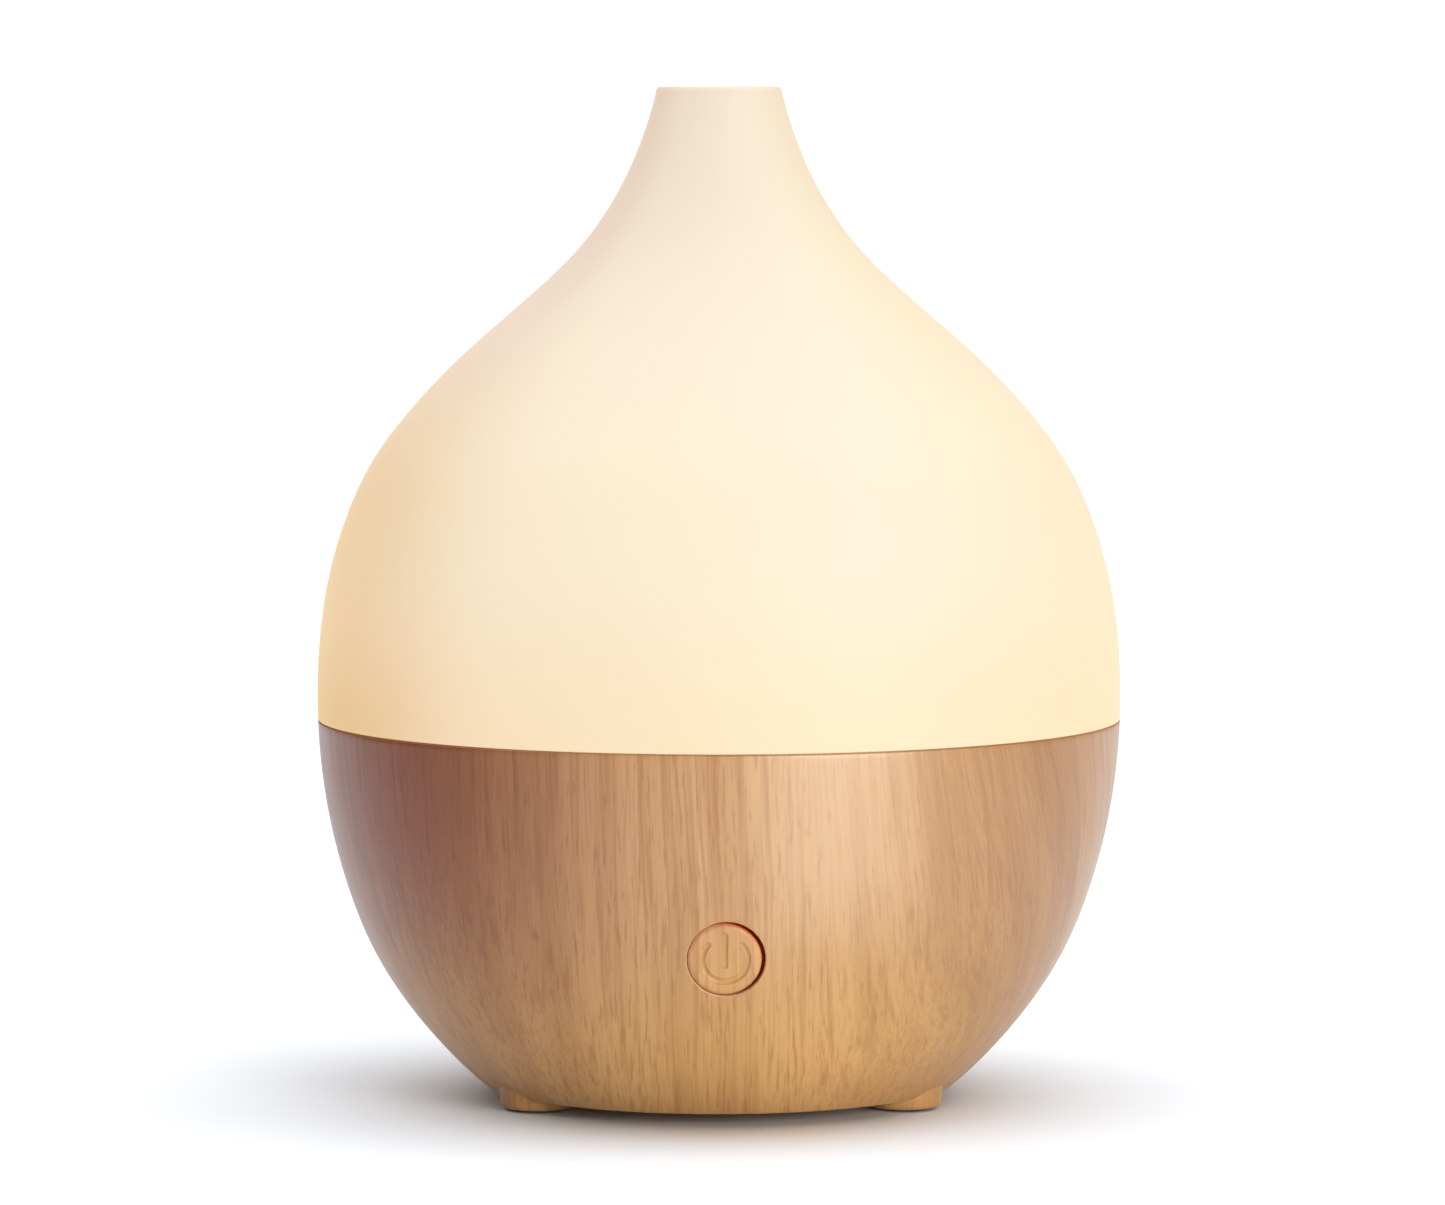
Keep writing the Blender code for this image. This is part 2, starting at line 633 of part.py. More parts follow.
def make_duct_cap():
    """Splash cap on the air column: a plug in its bore, and a hood with a window towards the middle."""
    low, high = TANK_RIM + GAP, TANK_RIM + CAP_HEIGHT
    plug, bore = COLUMN_BORE - GAP, COLUMN_BORE - GAP - 1.0
    plug_end, ceiling = TANK_RIM - CAP_PLUG_DEPTH, high - CAP_WALL
    profile = ((0.0, high), (COLUMN_RADIUS - CAP_WALL, high), (COLUMN_RADIUS, high - CAP_WALL),
               (COLUMN_RADIUS, low), (plug, low), (plug, plug_end), (bore, plug_end), (bore, ceiling),
               (0.0, ceiling))
    cap = turned("duct_cap", profile, TANK_PLASTIC, ring=False, at=(*COLUMN_AT, 0.0))
    window = blocks("duct_cap_window", [((0.0, -2.4, low + 0.8), (9.0, 2.4, ceiling - 0.2))])
    window.location = Vector((*COLUMN_AT, 0.0)) * MM
    window.rotation_euler.z = math.atan2(-COLUMN_AT[1], -COLUMN_AT[0])
    return cut(cap, window)


def make_mist_maker():
    """Piezo disc in a grooved seal, held up against the tank by a clamp ring and three screws."""
    turned("transducer_disc", ((0.0, DISC_TOP), (DISC_RADIUS, DISC_TOP), (DISC_RADIUS, DISC_BOTTOM),
                               (0.0, DISC_BOTTOM)), CERAMIC, ring=False)
    groove, low, high = DISC_RADIUS + GAP, DISC_BOTTOM - GAP, DISC_TOP + GAP
    seal_top = TANK_FLOOR - GAP
    turned("transducer_seal", ((SEAL_RADIUS, seal_top), (SEAL_RADIUS, SEAL_BOTTOM),
                               (DISC_WINDOW, SEAL_BOTTOM), (DISC_WINDOW, low), (groove, low), (groove, high),
                               (DISC_WINDOW, high), (DISC_WINDOW, seal_top)), SILICONE)
    clamp = turned("transducer_clamp", ((CLAMP_RADIUS, CLAMP_TOP), (CLAMP_RADIUS, CLAMP_BOTTOM),
                                        (DISC_WINDOW, CLAMP_BOTTOM), (DISC_WINDOW, CLAMP_TOP)), STEEL)
    spots = [on_circle(CLAMP_ORBIT, angle) for angle in CLAMP_ANGLES]
    cut(clamp, rods("clamp_holes", [upright(x, y, CLAMP_BOTTOM - 1.0, CLAMP_TOP + 1.0, CLAMP_HOLE)
                                    for x, y in spots]))
    for i, (x, y) in enumerate(spots, 1):
        screw(f"clamp_screw_{i}", CLAMP_SCREW, (x, y, CLAMP_BOTTOM - GAP))


def make_lighting():
    """Ring board staked on three pegs under the tank, with LEDs facing up."""
    ring = turned("led_board", ((LED_RING_OUTER, LED_RING_TOP), (LED_RING_OUTER, LED_RING_BOTTOM),
                                (LED_RING_INNER, LED_RING_BOTTOM), (LED_RING_INNER, LED_RING_TOP)), CIRCUIT)
    cut(ring, rods("led_peg_holes", [upright(*on_circle(LED_ORBIT, angle), LED_RING_BOTTOM - 1.0,
                                             LED_RING_TOP + 1.0, PEG_RADIUS + GAP) for angle in PEG_ANGLES]))
    reach, width, height = LED_SIZE
    low = LED_RING_TOP + GAP
    for i in range(LED_COUNT):
        angle = 30.0 + i * 360.0 / LED_COUNT
        led = blocks(f"led_{i + 1}", [((-reach / 2, -width / 2, low), (reach / 2, width / 2, low + height))],
                     LED_WHITE)
        led.location = Vector((*on_circle(LED_ORBIT, angle), 0.0)) * MM
        led.rotation_euler.z = math.radians(angle)


# ---------------------------------------------------------------- fan and duct

def make_fan_frame():
    half = FAN_SIZE / 2
    plate_top = FAN_BOTTOM + FAN_PLATE
    frame = blocks("fan_frame", [((-half, -half, FAN_BOTTOM), (half, half, FAN_TOP))], DARK_PLASTIC)
    cut(frame, rods("fan_bore", [upright(0, 0, FAN_BOTTOM - 1.0, FAN_TOP + 1.0, FAN_BORE)], sides=MID_SIDES))
    reach, side = FAN_BORE + 0.3, STRUT_WIDTH / 2
    join(frame, blocks("fan_strut_long", [((-reach, -side, FAN_BOTTOM), (reach, side, plate_top))]))
    join(frame, blocks("fan_strut_cross", [((-side, -reach, FAN_BOTTOM), (side, reach, plate_top))]))
    bearing_seat, tube_radius, tube_top, seat_floor = 2.3, 3.3, 12.3, 7.9
    hub = turned("fan_hub_base", ((tube_radius, tube_top), (tube_radius, plate_top), (7.5, plate_top),
                                  (7.5, FAN_BOTTOM), (0.0, FAN_BOTTOM), (0.0, seat_floor),
                                  (bearing_seat, seat_floor), (bearing_seat, tube_top)))
    join(frame, hub)
    cut(frame, rods("fan_holes", [upright(x * FAN_HOLE, y * FAN_HOLE, FAN_BOTTOM - 1.0, FAN_TOP + 1.0,
                                          FAN_HOLE_RADIUS) for x in (-1, 1) for y in (-1, 1)]))
    return frame


def make_impeller():
    """Hub cup with seven pitched blades; its origin is on the fan's axis."""
    cup = turned("fan_impeller", ((1.05, 14.0), (7.2, 14.0), (7.6, 13.6), (7.6, 8.3), (6.8, 8.3),
                                  (6.8, 12.8), (1.05, 12.8)), DARK_PLASTIC)
    mesh = bpy.data.meshes.new("fan_blades")
    shape = bmesh.new()
    pitch = Matrix.Rotation(math.radians(BLADE_PITCH), 4, "X")
    blade = Matrix.Diagonal((*(Vector(BLADE_SIZE) * MM), 1.0))
    place = Matrix.Translation(Vector(BLADE_AT) * MM)
    for i in range(FAN_BLADES):
        spoke = Matrix.Rotation(2 * math.pi * i / FAN_BLADES, 4, "Z")
        bmesh.ops.create_cube(shape, size=1.0, matrix=spoke @ place @ pitch @ blade)
    shape.to_mesh(mesh)
    shape.free()
    return join(cup, add_object("fan_blades", mesh))


def make_fan():
    """Axial fan: frame, impeller on its shaft, sleeve bearing, winding, and magnet ring in the hub."""
    make_fan_frame()
    make_impeller()
    turned("fan_shaft", ((0.0, 13.9), (0.75, 13.9), (0.75, 8.2), (0.0, 8.2)), STEEL, sides=SMALL_SIDES,
           ring=False)
    turned("fan_bearing", ((2.0, 12.2), (2.0, 8.2), (1.05, 8.2), (1.05, 12.2)), BRASS, sides=SMALL_SIDES)
    turned("fan_coil", ((5.4, 11.6), (5.4, 8.0), (3.6, 8.0), (3.6, 11.6)), COPPER)
    turned("fan_magnet", ((6.5, 12.4), (6.5, 8.5), (5.8, 8.5), (5.8, 12.4)), FERRITE)
    seat = FAN_TOP + GAP + DUCT_WALL + GAP
    for i, side in enumerate((-1, 1), 1):
        screw(f"fan_screw_{i}", FAN_SCREW, (side * FAN_HOLE, side * FAN_HOLE, seat), "down")


def two_circle_outline(radius, far_radius, far_at, steps=10):
    """Outline round a circle at the origin and a second circle, with straight sides that touch both."""
    distance = math.hypot(*far_at)
    heading = math.atan2(far_at[1], far_at[0])
    spread = math.acos((radius - far_radius) / distance)
    outline = []
    for i in range(steps + 1):
        angle = heading - spread + 2 * spread * i / steps
        outline.append((far_at[0] + far_radius * math.cos(angle), far_at[1] + far_radius * math.sin(angle)))
    for i in range(2 * steps + 1):
        angle = heading + spread + 2 * (math.pi - spread) * i / (2 * steps)
        outline.append((radius * math.cos(angle), radius * math.sin(angle)))
    return outline


def make_air_duct():
    """Flat duct from the fan's outlet to the foot of the air column, with a flange under the fan screws."""
    low, wall, flange = FAN_TOP + GAP, DUCT_WALL, DUCT_FLANGE
    outer = two_circle_outline(DUCT_RADIUS, DUCT_FAR_RADIUS, COLUMN_AT)
    inner = two_circle_outline(DUCT_RADIUS - wall, DUCT_FAR_RADIUS - wall, COLUMN_AT)
    duct = outline_solid("air_duct", outer, low, DUCT_TOP, DARK_PLASTIC)
    join(duct, blocks("duct_flange", [((-flange, -flange, low - 0.0001), (flange, flange, low + wall))]))
    join(duct, rods("duct_neck", [upright(*COLUMN_AT, low + wall, TANK_FLOOR - GAP, COLUMN_BORE + 1.2)],
                    sides=MID_SIDES))
    cut(duct, outline_solid("duct_room", inner, low + wall, DUCT_TOP - wall))
    cut(duct, rods("duct_inlet", [upright(0, 0, low - 1.0, low + 2 * wall, DUCT_INLET)], sides=MID_SIDES))
    cut(duct, rods("duct_outlet", [upright(*COLUMN_AT, low + 2 * wall, TANK_FLOOR + 1.0, COLUMN_BORE)],
                   sides=MID_SIDES))
    ends = (low - 1.0, low + wall + 0.1)
    holes = [upright(x, x, *ends, FAN_HOLE_RADIUS) for x in (-FAN_HOLE, FAN_HOLE)]
    return cut(duct, rods("duct_screw_holes", holes))


# ---------------------------------------------------------------- electronics

def standing_can(name, x, y, radius, height, material):
    """Electrolytic capacitor: a can with a rolled groove near its foot."""
    low, high = PART_SEAT, PART_SEAT + height
    profile = ((0.0, high), (radius - 0.4, high), (radius, high - 0.4), (radius, low + 1.8),
               (radius - 0.3, low + 1.4), (radius, low + 1.0), (radius, low), (0.0, low))
    return turned(name, profile, material, sides=12, ring=False, at=(x, y, 0.0))


def make_heat_sink():
    """Finned sink: a back plate with fins, standing on the board."""
    left, right, back, root, tip = -6.0, 6.0, -23.5, -24.7, -27.5
    fins, fin = 5, 1.0
    pitch = (right - left - fin) / (fins - 1)
    comb = []
    for i in range(fins):
        x = left + i * pitch
        comb += [(x, root), (x, tip), (x + fin, tip), (x + fin, root)]
    outline = [(right, back), (left, back), *comb[1:-1]]
    return outline_solid("heat_sink", outline, PART_SEAT, PART_SEAT + 9.0, ALUMINIUM)


def make_control_board():
    board = blocks("control_board", [(BOARD_LOW, BOARD_HIGH)], CIRCUIT)
    ends = (BOARD_LOW[2] - 1.0, BOARD_HIGH[2] + 1.0)
    cut(board, rods("control_board_holes", [upright(x, y, *ends, SMALL_HOLE) for x, y in BOARD_SCREWS]))
    low = PART_SEAT
    for i, (x, y) in enumerate(BOARD_SCREWS, 1):
        screw(f"board_screw_{i}", BOARD_SCREW, (x, y, low), "down")
    make_heat_sink()
    blocks("power_transistor", [((-5.0, -23.2, low), (5.0, -20.9, low + 8.5))], BLACK_EPOXY, bevel=0.3)
    blocks("controller_chip", [((9.2, -25.0, low), (14.2, -21.0, low + 1.5))], BLACK_EPOXY, bevel=0.3)
    turned("drive_coil", ((0.0, low + 6.0), (3.6, low + 6.0), (3.6, low + 5.0), (3.0, low + 5.0),
                          (3.0, low + 1.0), (3.6, low + 1.0), (3.6, low), (0.0, low)), FERRITE, sides=12,
           ring=False, at=(-9.5, -31.0, 0.0))
    standing_can("capacitor_1", -1.0, -31.5, 3.15, 9.5, CAPACITOR_SLEEVE)
    standing_can("capacitor_2", 5.5, -31.5, 2.5, 7.5, CAPACITOR_SLEEVE)


def on_face(x, up):
    """Point on the bowl's outer surface, x across and up above the button's centre."""
    height = BUTTON_HEIGHT + up
    radius, _ = body_point(height)
    return x, -math.sqrt(radius ** 2 - x ** 2), height


def symbol_routes():
    """Power symbol: an arc open at its top, and an upright bar in the opening."""
    arc_steps, bar_steps = 12, 3
    arc = []
    for i in range(arc_steps + 1):
        x, up = on_circle(SYMBOL_RADIUS, SYMBOL_START + SYMBOL_SWEEP * i / arc_steps)
        arc.append(on_face(x, up))
    top, bottom = SYMBOL_BAR
    bar = [on_face(0.0, top + (bottom - top) * i / bar_steps) for i in range(bar_steps + 1)]
    return arc, bar


def make_button():
    """Push button whose face carries on the bowl's curve, with a flange that keeps it in its hole."""
    button = rods("button_cap", [across(0, -OUTSIDE, BUTTON_BACK, BUTTON_HEIGHT, BUTTON_RADIUS)], OAK,
                  sides=MID_SIDES)
    combine(button, body_core("button_face", 0.05), "INTERSECT")
    flange_front = BUTTON_BACK - BUTTON_FLANGE_DEPTH
    join(button, rods("button_flange", [across(0, flange_front, BUTTON_BACK, BUTTON_HEIGHT, BUTTON_FLANGE)],
                      sides=MID_SIDES))
    for name, route in zip(("symbol_arc", "symbol_bar"), symbol_routes()):
        cut(button, curve_to_mesh(tube(name, route, SYMBOL_GROOVE)))
    rods("switch_plunger", [across(0, BUTTON_BACK + GAP, PLUNGER_END, BUTTON_HEIGHT, PLUNGER_RADIUS)],
         DARK_PLASTIC, sides=16)
    return button


def make_switch():
    """Tact switch on a small upright board, screwed to two posts behind the button."""
    half = SWITCH_HALF
    switch = blocks("tact_switch", [((-half, SWITCH_FRONT, BUTTON_HEIGHT - half),
                                     (half, SWITCH_BACK, BUTTON_HEIGHT + half))], BLACK_EPOXY)
    cut(switch, rods("tact_switch_well", [across(0, SWITCH_FRONT - 1.0, PLUNGER_END + 0.9, BUTTON_HEIGHT,
                                                 PLUNGER_RADIUS + GAP)], sides=16))
    board = blocks("switch_board", [(SWITCH_BOARD_LOW, SWITCH_BOARD_HIGH)], CIRCUIT)
    front, back = SWITCH_BOARD_LOW[1], SWITCH_BOARD_HIGH[1]
    spots = (-SWITCH_POST_X, SWITCH_POST_X)
    cut(board, rods("switch_board_holes", [across(x, front - 1.0, back + 1.0, BUTTON_HEIGHT, SMALL_HOLE)
                                           for x in spots]))
    for i, x in enumerate(spots, 1):
        screw(f"switch_board_screw_{i}", SWITCH_SCREW, (x, back + GAP, BUTTON_HEIGHT), "front")


def make_jack():
    """5.5 mm power socket: a block with a round snout, a bore, and a centre pin."""
    width, height = JACK_HALF
    jack = blocks("dc_jack", [((-width, JACK_BACK, JACK_HEIGHT - height),
                               (width, JACK_FRONT, JACK_HEIGHT + height))], BLACK_EPOXY)
    bore_end = JACK_BACK + 5.0
    join(jack, rods("jack_snout", [across(0, JACK_BACK + 1.0, JACK_END, JACK_HEIGHT, JACK_HOLE - GAP)],
                    sides=MID_SIDES))
    cut(jack, rods("jack_bore", [across(0, bore_end, JACK_END + 4.0, JACK_HEIGHT, JACK_BORE)],
                   sides=MID_SIDES))
    return join(jack, rods("jack_pin", [across(0, bore_end - 1.0, JACK_END - 1.0, JACK_HEIGHT, JACK_PIN)]))


def make_leads():
    """Leads held inside the bowl; each leaves its board or socket square to it."""
    low = PART_SEAT + 0.2
    rise = low + 1.6
    ring = LED_RING_BOTTOM - GAP
    tube("transducer_lead", ((-13, -21, low), (-13, -21, rise), (-12.7, -20.9, 16.4), (-9, -17.8, 19.7),
                             (-5, -12, 19.75), (-2, -6, 19.8), (0, -2, 21.2), (0, -1.6, 22.6)), 0.5, RED_WIRE)
    tube("fan_lead", ((7, -15.5, 9.6), (7, -16.5, 9.9), (7, -17.6, 12.2), (7, -19.4, 13.4), (7, -20.5, rise),
                      (7, -20.5, low)), 0.5, BLACK_WIRE)
    tube("led_lead", ((0, -19.2, low), (0, -19.2, rise), (0.5, -19.4, 17), (0, -19.2, ring - 1.4),
                      (0, -19.2, ring)), 0.5, WHITE_WIRE)
    tube("switch_lead", ((6, -44.2, 25.5), (6, -43.2, 25.2), (7, -40, 19), (9, -36, 14.4),
                         (10.5, -32.4, 13.4), (10.5, -32, rise), (10.5, -32, low)), 0.5, WHITE_WIRE)
    tube("power_lead", ((1.5, 46, 24.1), (1.5, 46, 22.4), (5, 43, 15.5), (17.3, 37.2, 13.5), (31.4, 26.4, 13),
                        (40.4, 7.1, 13), (39.2, -14, 13), (33.4, -23.4, 13.2), (25, -25, 13.8),
                        (18.4, -21.2, 14), (16.8, -20.3, rise), (16.8, -20.3, low)), 0.8, BLACK_WIRE)


def smooth_all():
    group = smoothing_group()
    for piece in PARTS.objects:
        if piece.type == "MESH":
            piece.modifiers.new("Smooth", "NODES").node_group = group


FROSTED = make_material("frosted_cover", (0.96, 0.87, 0.72), 0.45)
CLEAR = make_material("clear_plastic", (0.90, 0.90, 0.88), 0.25)
TANK_PLASTIC = make_material("tank_plastic", (0.88, 0.88, 0.86), 0.30)
OAK = make_material("oak_finish", (0.62, 0.38, 0.20), 0.38)
DARK_PLASTIC = make_material("dark_plastic", (0.06, 0.06, 0.065), 0.50)
RUBBER = make_material("rubber", (0.05, 0.05, 0.05), 0.85)
SILICONE = make_material("silicone", (0.75, 0.74, 0.70), 0.60)
CERAMIC = make_material("piezo_ceramic", (0.72, 0.68, 0.55), 0.35)
CIRCUIT = make_material("circuit_board", (0.03, 0.20, 0.08), 0.40)
LED_WHITE = make_material("led_white", (0.95, 0.90, 0.70), 0.30)
BLACK_EPOXY = make_material("black_epoxy", (0.03, 0.03, 0.035), 0.45)
CAPACITOR_SLEEVE = make_material("capacitor_sleeve", (0.04, 0.06, 0.20), 0.35)
FERRITE = make_material("ferrite", (0.10, 0.09, 0.09), 0.60)
STEEL = make_material("steel", (0.60, 0.60, 0.62), 0.30, 1.0)
ALUMINIUM = make_material("aluminium", (0.75, 0.76, 0.78), 0.35, 1.0)
BRASS = make_material("brass", (0.75, 0.58, 0.28), 0.30, 1.0)
COPPER = make_material("copper_winding", (0.72, 0.35, 0.18), 0.35, 1.0)
RED_WIRE = make_material("red_wire", (0.50, 0.04, 0.03), 0.45)
BLACK_WIRE = make_material("black_wire", (0.03, 0.03, 0.03), 0.45)
WHITE_WIRE = make_material("white_wire", (0.80, 0.80, 0.78), 0.45)

make_cover()
make_mist_guide()
make_base_shell()
make_pads_and_tank_screws()
make_bottom_cover()
make_water_tank()
make_tank_seal()
make_duct_cap()
make_mist_maker()
make_lighting()
make_fan()
make_air_duct()
make_control_board()
make_button()
make_switch()
make_jack()
make_leads()
smooth_all()
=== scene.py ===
"""Looks of the ultrasonic cool mist humidifier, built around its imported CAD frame.

Fine meshes replace the CAD pieces that show and many of those inside: cover, bowl, button, tank, mist maker,
fan, socket, LEDs, capacitors and screws. The other CAD pieces get their materials. Lengths in the shape code
are millimetres, turned into metres by MM.
"""

import json
import math

import bmesh
import bpy
import numpy as np
from mathutils import Matrix, Vector


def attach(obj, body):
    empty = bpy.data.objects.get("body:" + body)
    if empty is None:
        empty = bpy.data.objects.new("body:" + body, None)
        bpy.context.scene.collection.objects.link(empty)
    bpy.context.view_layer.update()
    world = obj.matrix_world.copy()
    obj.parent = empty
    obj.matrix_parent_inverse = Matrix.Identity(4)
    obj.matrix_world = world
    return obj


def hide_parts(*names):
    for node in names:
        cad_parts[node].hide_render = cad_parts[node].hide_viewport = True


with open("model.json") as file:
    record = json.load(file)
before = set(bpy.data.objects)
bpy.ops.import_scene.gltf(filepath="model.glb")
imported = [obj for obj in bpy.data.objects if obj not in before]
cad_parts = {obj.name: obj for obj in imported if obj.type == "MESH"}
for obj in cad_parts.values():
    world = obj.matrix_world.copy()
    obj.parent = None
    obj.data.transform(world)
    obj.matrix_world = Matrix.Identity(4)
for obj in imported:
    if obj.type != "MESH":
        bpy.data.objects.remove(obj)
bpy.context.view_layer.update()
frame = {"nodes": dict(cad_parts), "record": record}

MM = 0.001
CUTTERS = bpy.data.collections.new("cutters")
bpy.context.scene.collection.children.link(CUTTERS)

# Outer curve of the body: height, radius, growth of the radius with height
BODY_CURVE = (
    (2.1, 38.0, 1.20),
    (12.0, 47.8, 0.84),
    (30.0, 58.6, 0.38),
    (65.0, 64.97, 0.0),
    (100.0, 57.7, -0.49),
    (118.0, 43.7, -1.0),
    (140.0, 20.5, -0.75),
    (163.4, 9.9, -0.25),
)
BODY_TOP = BODY_CURVE[-1][0]
BODY_BOTTOM = BODY_CURVE[0][0]
BOWL_TOP = 61.35
COVER_BOTTOM = 61.6
COVER_WALL = 2.0
SHELL_WALL = 2.4
FLOOR_TOP = 6.2
LEDGE_TOP = 55.5
NOZZLE_BORE = 8.0
BUTTON_HEIGHT = 29.2
BUTTON_RADIUS = 5.75
BUTTON_HOLE = 6.1
BUTTON_BACK = -50.4
BUTTON_SHIFT = (-0.23, -0.08)    # the cap sits a little left and low in its hole: across, up
JACK_HEIGHT = 30.0
JACK_HOLE = 5.2
COLUMN_AT = (-25.1, 14.5)        # air column of the tank
BOARD_POST = (15.5, -28.0)       # posts and screws of the control board: to each side, and along Y
FAN_SCREW_REACH = 12.0           # fan screws, along X and along Y
SWITCH_SCREW_REACH = 10.5        # screws of the switch board, to each side of the button
LED_CIRCLE = 19.25
FOOT_ANGLES = (210.0, 330.0, 90.0)
CLAMP_ANGLES = (90.0, 210.0, 330.0)
OPEN_EDGE = 0.14                 # broken edge of the cover and the bowl at the seam

# Wood finish: grain tones, then the colours that tint them over parts of the bowl, among them painted shade,
# a painted highlight, and painted light and shade in the gap round the button
PALE, TAN = (0.61, 0.345, 0.153), (0.54, 0.290, 0.120)
BROWN, REDDISH = (0.37, 0.168, 0.066), (0.40, 0.160, 0.062)
# Painted shade: the next two colours darken the bowl's left and its right
LEFT_SHADE_TINT = (0.39, 0.145, 0.035, 1.0)
RIGHT_SHADE_TINT = (0.70, 0.64, 0.58, 1.0)
UPPER_TINT = (0.89, 0.89, 0.91, 1.0)
FOOT_TINT = (1.0, 0.99, 0.74, 1.0)
# Painted highlight: a pale sheen on the wood
PAINTED_SHEEN = (0.68, 0.49, 0.32, 1.0)
# Painted light and shade on the walls of the gap round the button
PAINTED_GAP_LIT, PAINTED_GAP_SHADE = (0.95, 0.68, 0.45, 1.0), (0.95, 0.24, 0.03, 1.0)
WRAP = 62.0                      # radius of the cylinder that the grain is wrapped on

# Frosted cover: its own colour, and the light it gives off, low down, in the middle and at the nozzle
FROST_LOW = (0.200, 0.265, 0.200, 1.0)
FROST_HIGH = (0.160, 0.185, 0.190, 1.0)
FROST_CLOUD = (0.19, 0.24, 0.20, 1.0)
GLOW_SEAM = (0.715, 0.435, 0.262, 1.0)
GLOW_MIDDLE = (0.710, 0.495, 0.372, 1.0)
GLOW_NOZZLE = (0.65, 0.478, 0.335, 1.0)
GLOW_CLOUD = (0.74, 0.57, 0.32, 1.0)
# Painted shade that multiplies that light at the cover's left, at the same heights, and at its right
COVER_SHADE_SEAM = (0.79, 0.62, 0.22, 1.0)
COVER_SHADE_MIDDLE = (0.90, 0.76, 0.47, 1.0)
COVER_SHADE_NOZZLE = (0.94, 0.88, 0.93, 1.0)
COVER_SHADE_RIGHT = (0.99, 0.93, 0.79, 1.0)


# ---------- mesh helpers

def body_radius(height):
    """Radius and slope of the body's outer curve at a height, or at an array of heights."""
    height = np.asarray(height, float)
    stops = np.array(BODY_CURVE)
    span_at = np.clip(np.searchsorted(stops[:, 0], height) - 1, 0, len(stops) - 2)
    low, high = stops[span_at], stops[span_at + 1]
    span = high[..., 0] - low[..., 0]
    t = (height - low[..., 0]) / span
    rise = high[..., 1] - low[..., 1]
    a = span * (low[..., 2] + high[..., 2]) - 2 * rise
    b = 3 * rise - span * (2 * low[..., 2] + high[..., 2])
    radius = low[..., 1] + span * low[..., 2] * t + b * t ** 2 + a * t ** 3
    return radius, low[..., 2] + (2 * b * t + 3 * a * t ** 2) / span


def body_line(start, end, steps, inset=0.0):
    """(radius, height) points along the body's curve, moved in by inset at right angles to it."""
    heights = np.linspace(start, end, steps + 1)
    radius, slope = body_radius(heights)
    shift = inset / np.hypot(1.0, slope)
    return list(zip(radius - shift, heights + shift * slope))


def rounded(corners, closed=True):
    """Profile from (radius, height) or (radius, height, rounding) corners, with arcs at the rounded ones."""
    corners = [(*corner, 0.0)[:3] for corner in corners]
    count = len(corners)
    profile = []
    for i, (radius, height, rounding) in enumerate(corners):
        here = Vector((radius, height))
        if not rounding or (not closed and i in (0, count - 1)):
            profile.append((radius, height))
            continue
        to_before = Vector(corners[i - 1][:2]) - here
        to_after = Vector(corners[(i + 1) % count][:2]) - here
        half = to_before.angle(to_after) / 2
        reach = min(rounding / math.tan(half), 0.49 * to_before.length, 0.49 * to_after.length)
        start, end = here + to_before.normalized() * reach, here + to_after.normalized() * reach
        steps = 5
        for k in range(steps + 1):
            t = k / steps
            profile.append(tuple(start * (1 - t) ** 2 + here * 2 * t * (1 - t) + end * t ** 2))
    return profile


def moved(at):
    """Matrix that moves a shape by a distance in millimetres."""
    return Matrix.Translation(Vector(at) * MM)


def new_object(name, shape, smooth=30.0, cutter=False):
    """Object from a bmesh in metres, with faces smooth and edges over the given angle sharp."""
    mesh = bpy.data.meshes.new(name)
    bmesh.ops.recalc_face_normals(shape, faces=shape.faces)
    if shape.calc_volume(signed=True) < 0.0:
        bmesh.ops.reverse_faces(shape, faces=shape.faces)
    shape.to_mesh(mesh)
    shape.free()
    mesh.shade_smooth()
    mesh.set_sharp_from_angle(angle=math.radians(smooth))
    piece = bpy.data.objects.new(name, mesh)
    if cutter:
        CUTTERS.objects.link(piece)
        piece.hide_render = True
        piece.display_type = "WIRE"
    else:
        bpy.context.scene.collection.objects.link(piece)
    return piece


def add_turned(shape, profile, sides, closed=True, at=(0.0, 0.0, 0.0), turn=None):
    """Adds a profile turned about Z to a bmesh; at and turn then place it."""
    angles = np.linspace(0.0, 2 * math.pi, sides, endpoint=False)
    place = moved(at) @ (turn or Matrix.Identity(4))
    rings = []
    for radius, height in profile:
        if radius < 1e-6:
            ring = [shape.verts.new(place @ Vector((0.0, 0.0, height * MM)))] * sides
        else:
            ring = [shape.verts.new(place @ Vector((radius * math.cos(a) * MM, radius * math.sin(a) * MM,
                                                    height * MM))) for a in angles]
        rings.append(ring)
    pairs = list(zip(rings, rings[1:]))
    if closed:
        pairs.append((rings[-1], rings[0]))
    for upper, lower in pairs:
        for i in range(sides):
            j = (i + 1) % sides
            corners = []
            for corner in (upper[i], lower[i], lower[j], upper[j]):
                if corner not in corners:
                    corners.append(corner)
            if len(corners) > 2:
                shape.faces.new(corners)


def turned(name, profile, sides=96, closed=True, at=(0.0, 0.0, 0.0), turn=None, smooth=30.0, cutter=False):
    """Object from a profile turned about Z."""
    shape = bmesh.new()
    add_turned(shape, profile, sides, closed, at, turn)
    return new_object(name, shape, smooth, cutter)


def add_loops(shape, loops):
    """Adds the faces between neighbouring loops of vertices, and one over each end."""
    count = len(loops[0])
    for first, second in zip(loops, loops[1:]):
        for i in range(count):
            j = (i + 1) % count
            shape.faces.new((first[i], first[j], second[j], second[i]))
    shape.faces.new(loops[0])
    shape.faces.new(loops[-1])


def add_rod(shape, start, end, radius, sides=24):
    start, end = Vector(start) * MM, Vector(end) * MM
    axis = end - start
    place = Matrix.Translation((start + end) / 2) @ axis.to_track_quat("Z", "Y").to_matrix().to_4x4()
    bmesh.ops.create_cone(shape, cap_ends=True, segments=sides, radius1=radius * MM, radius2=radius * MM,
                          depth=axis.length, matrix=place)


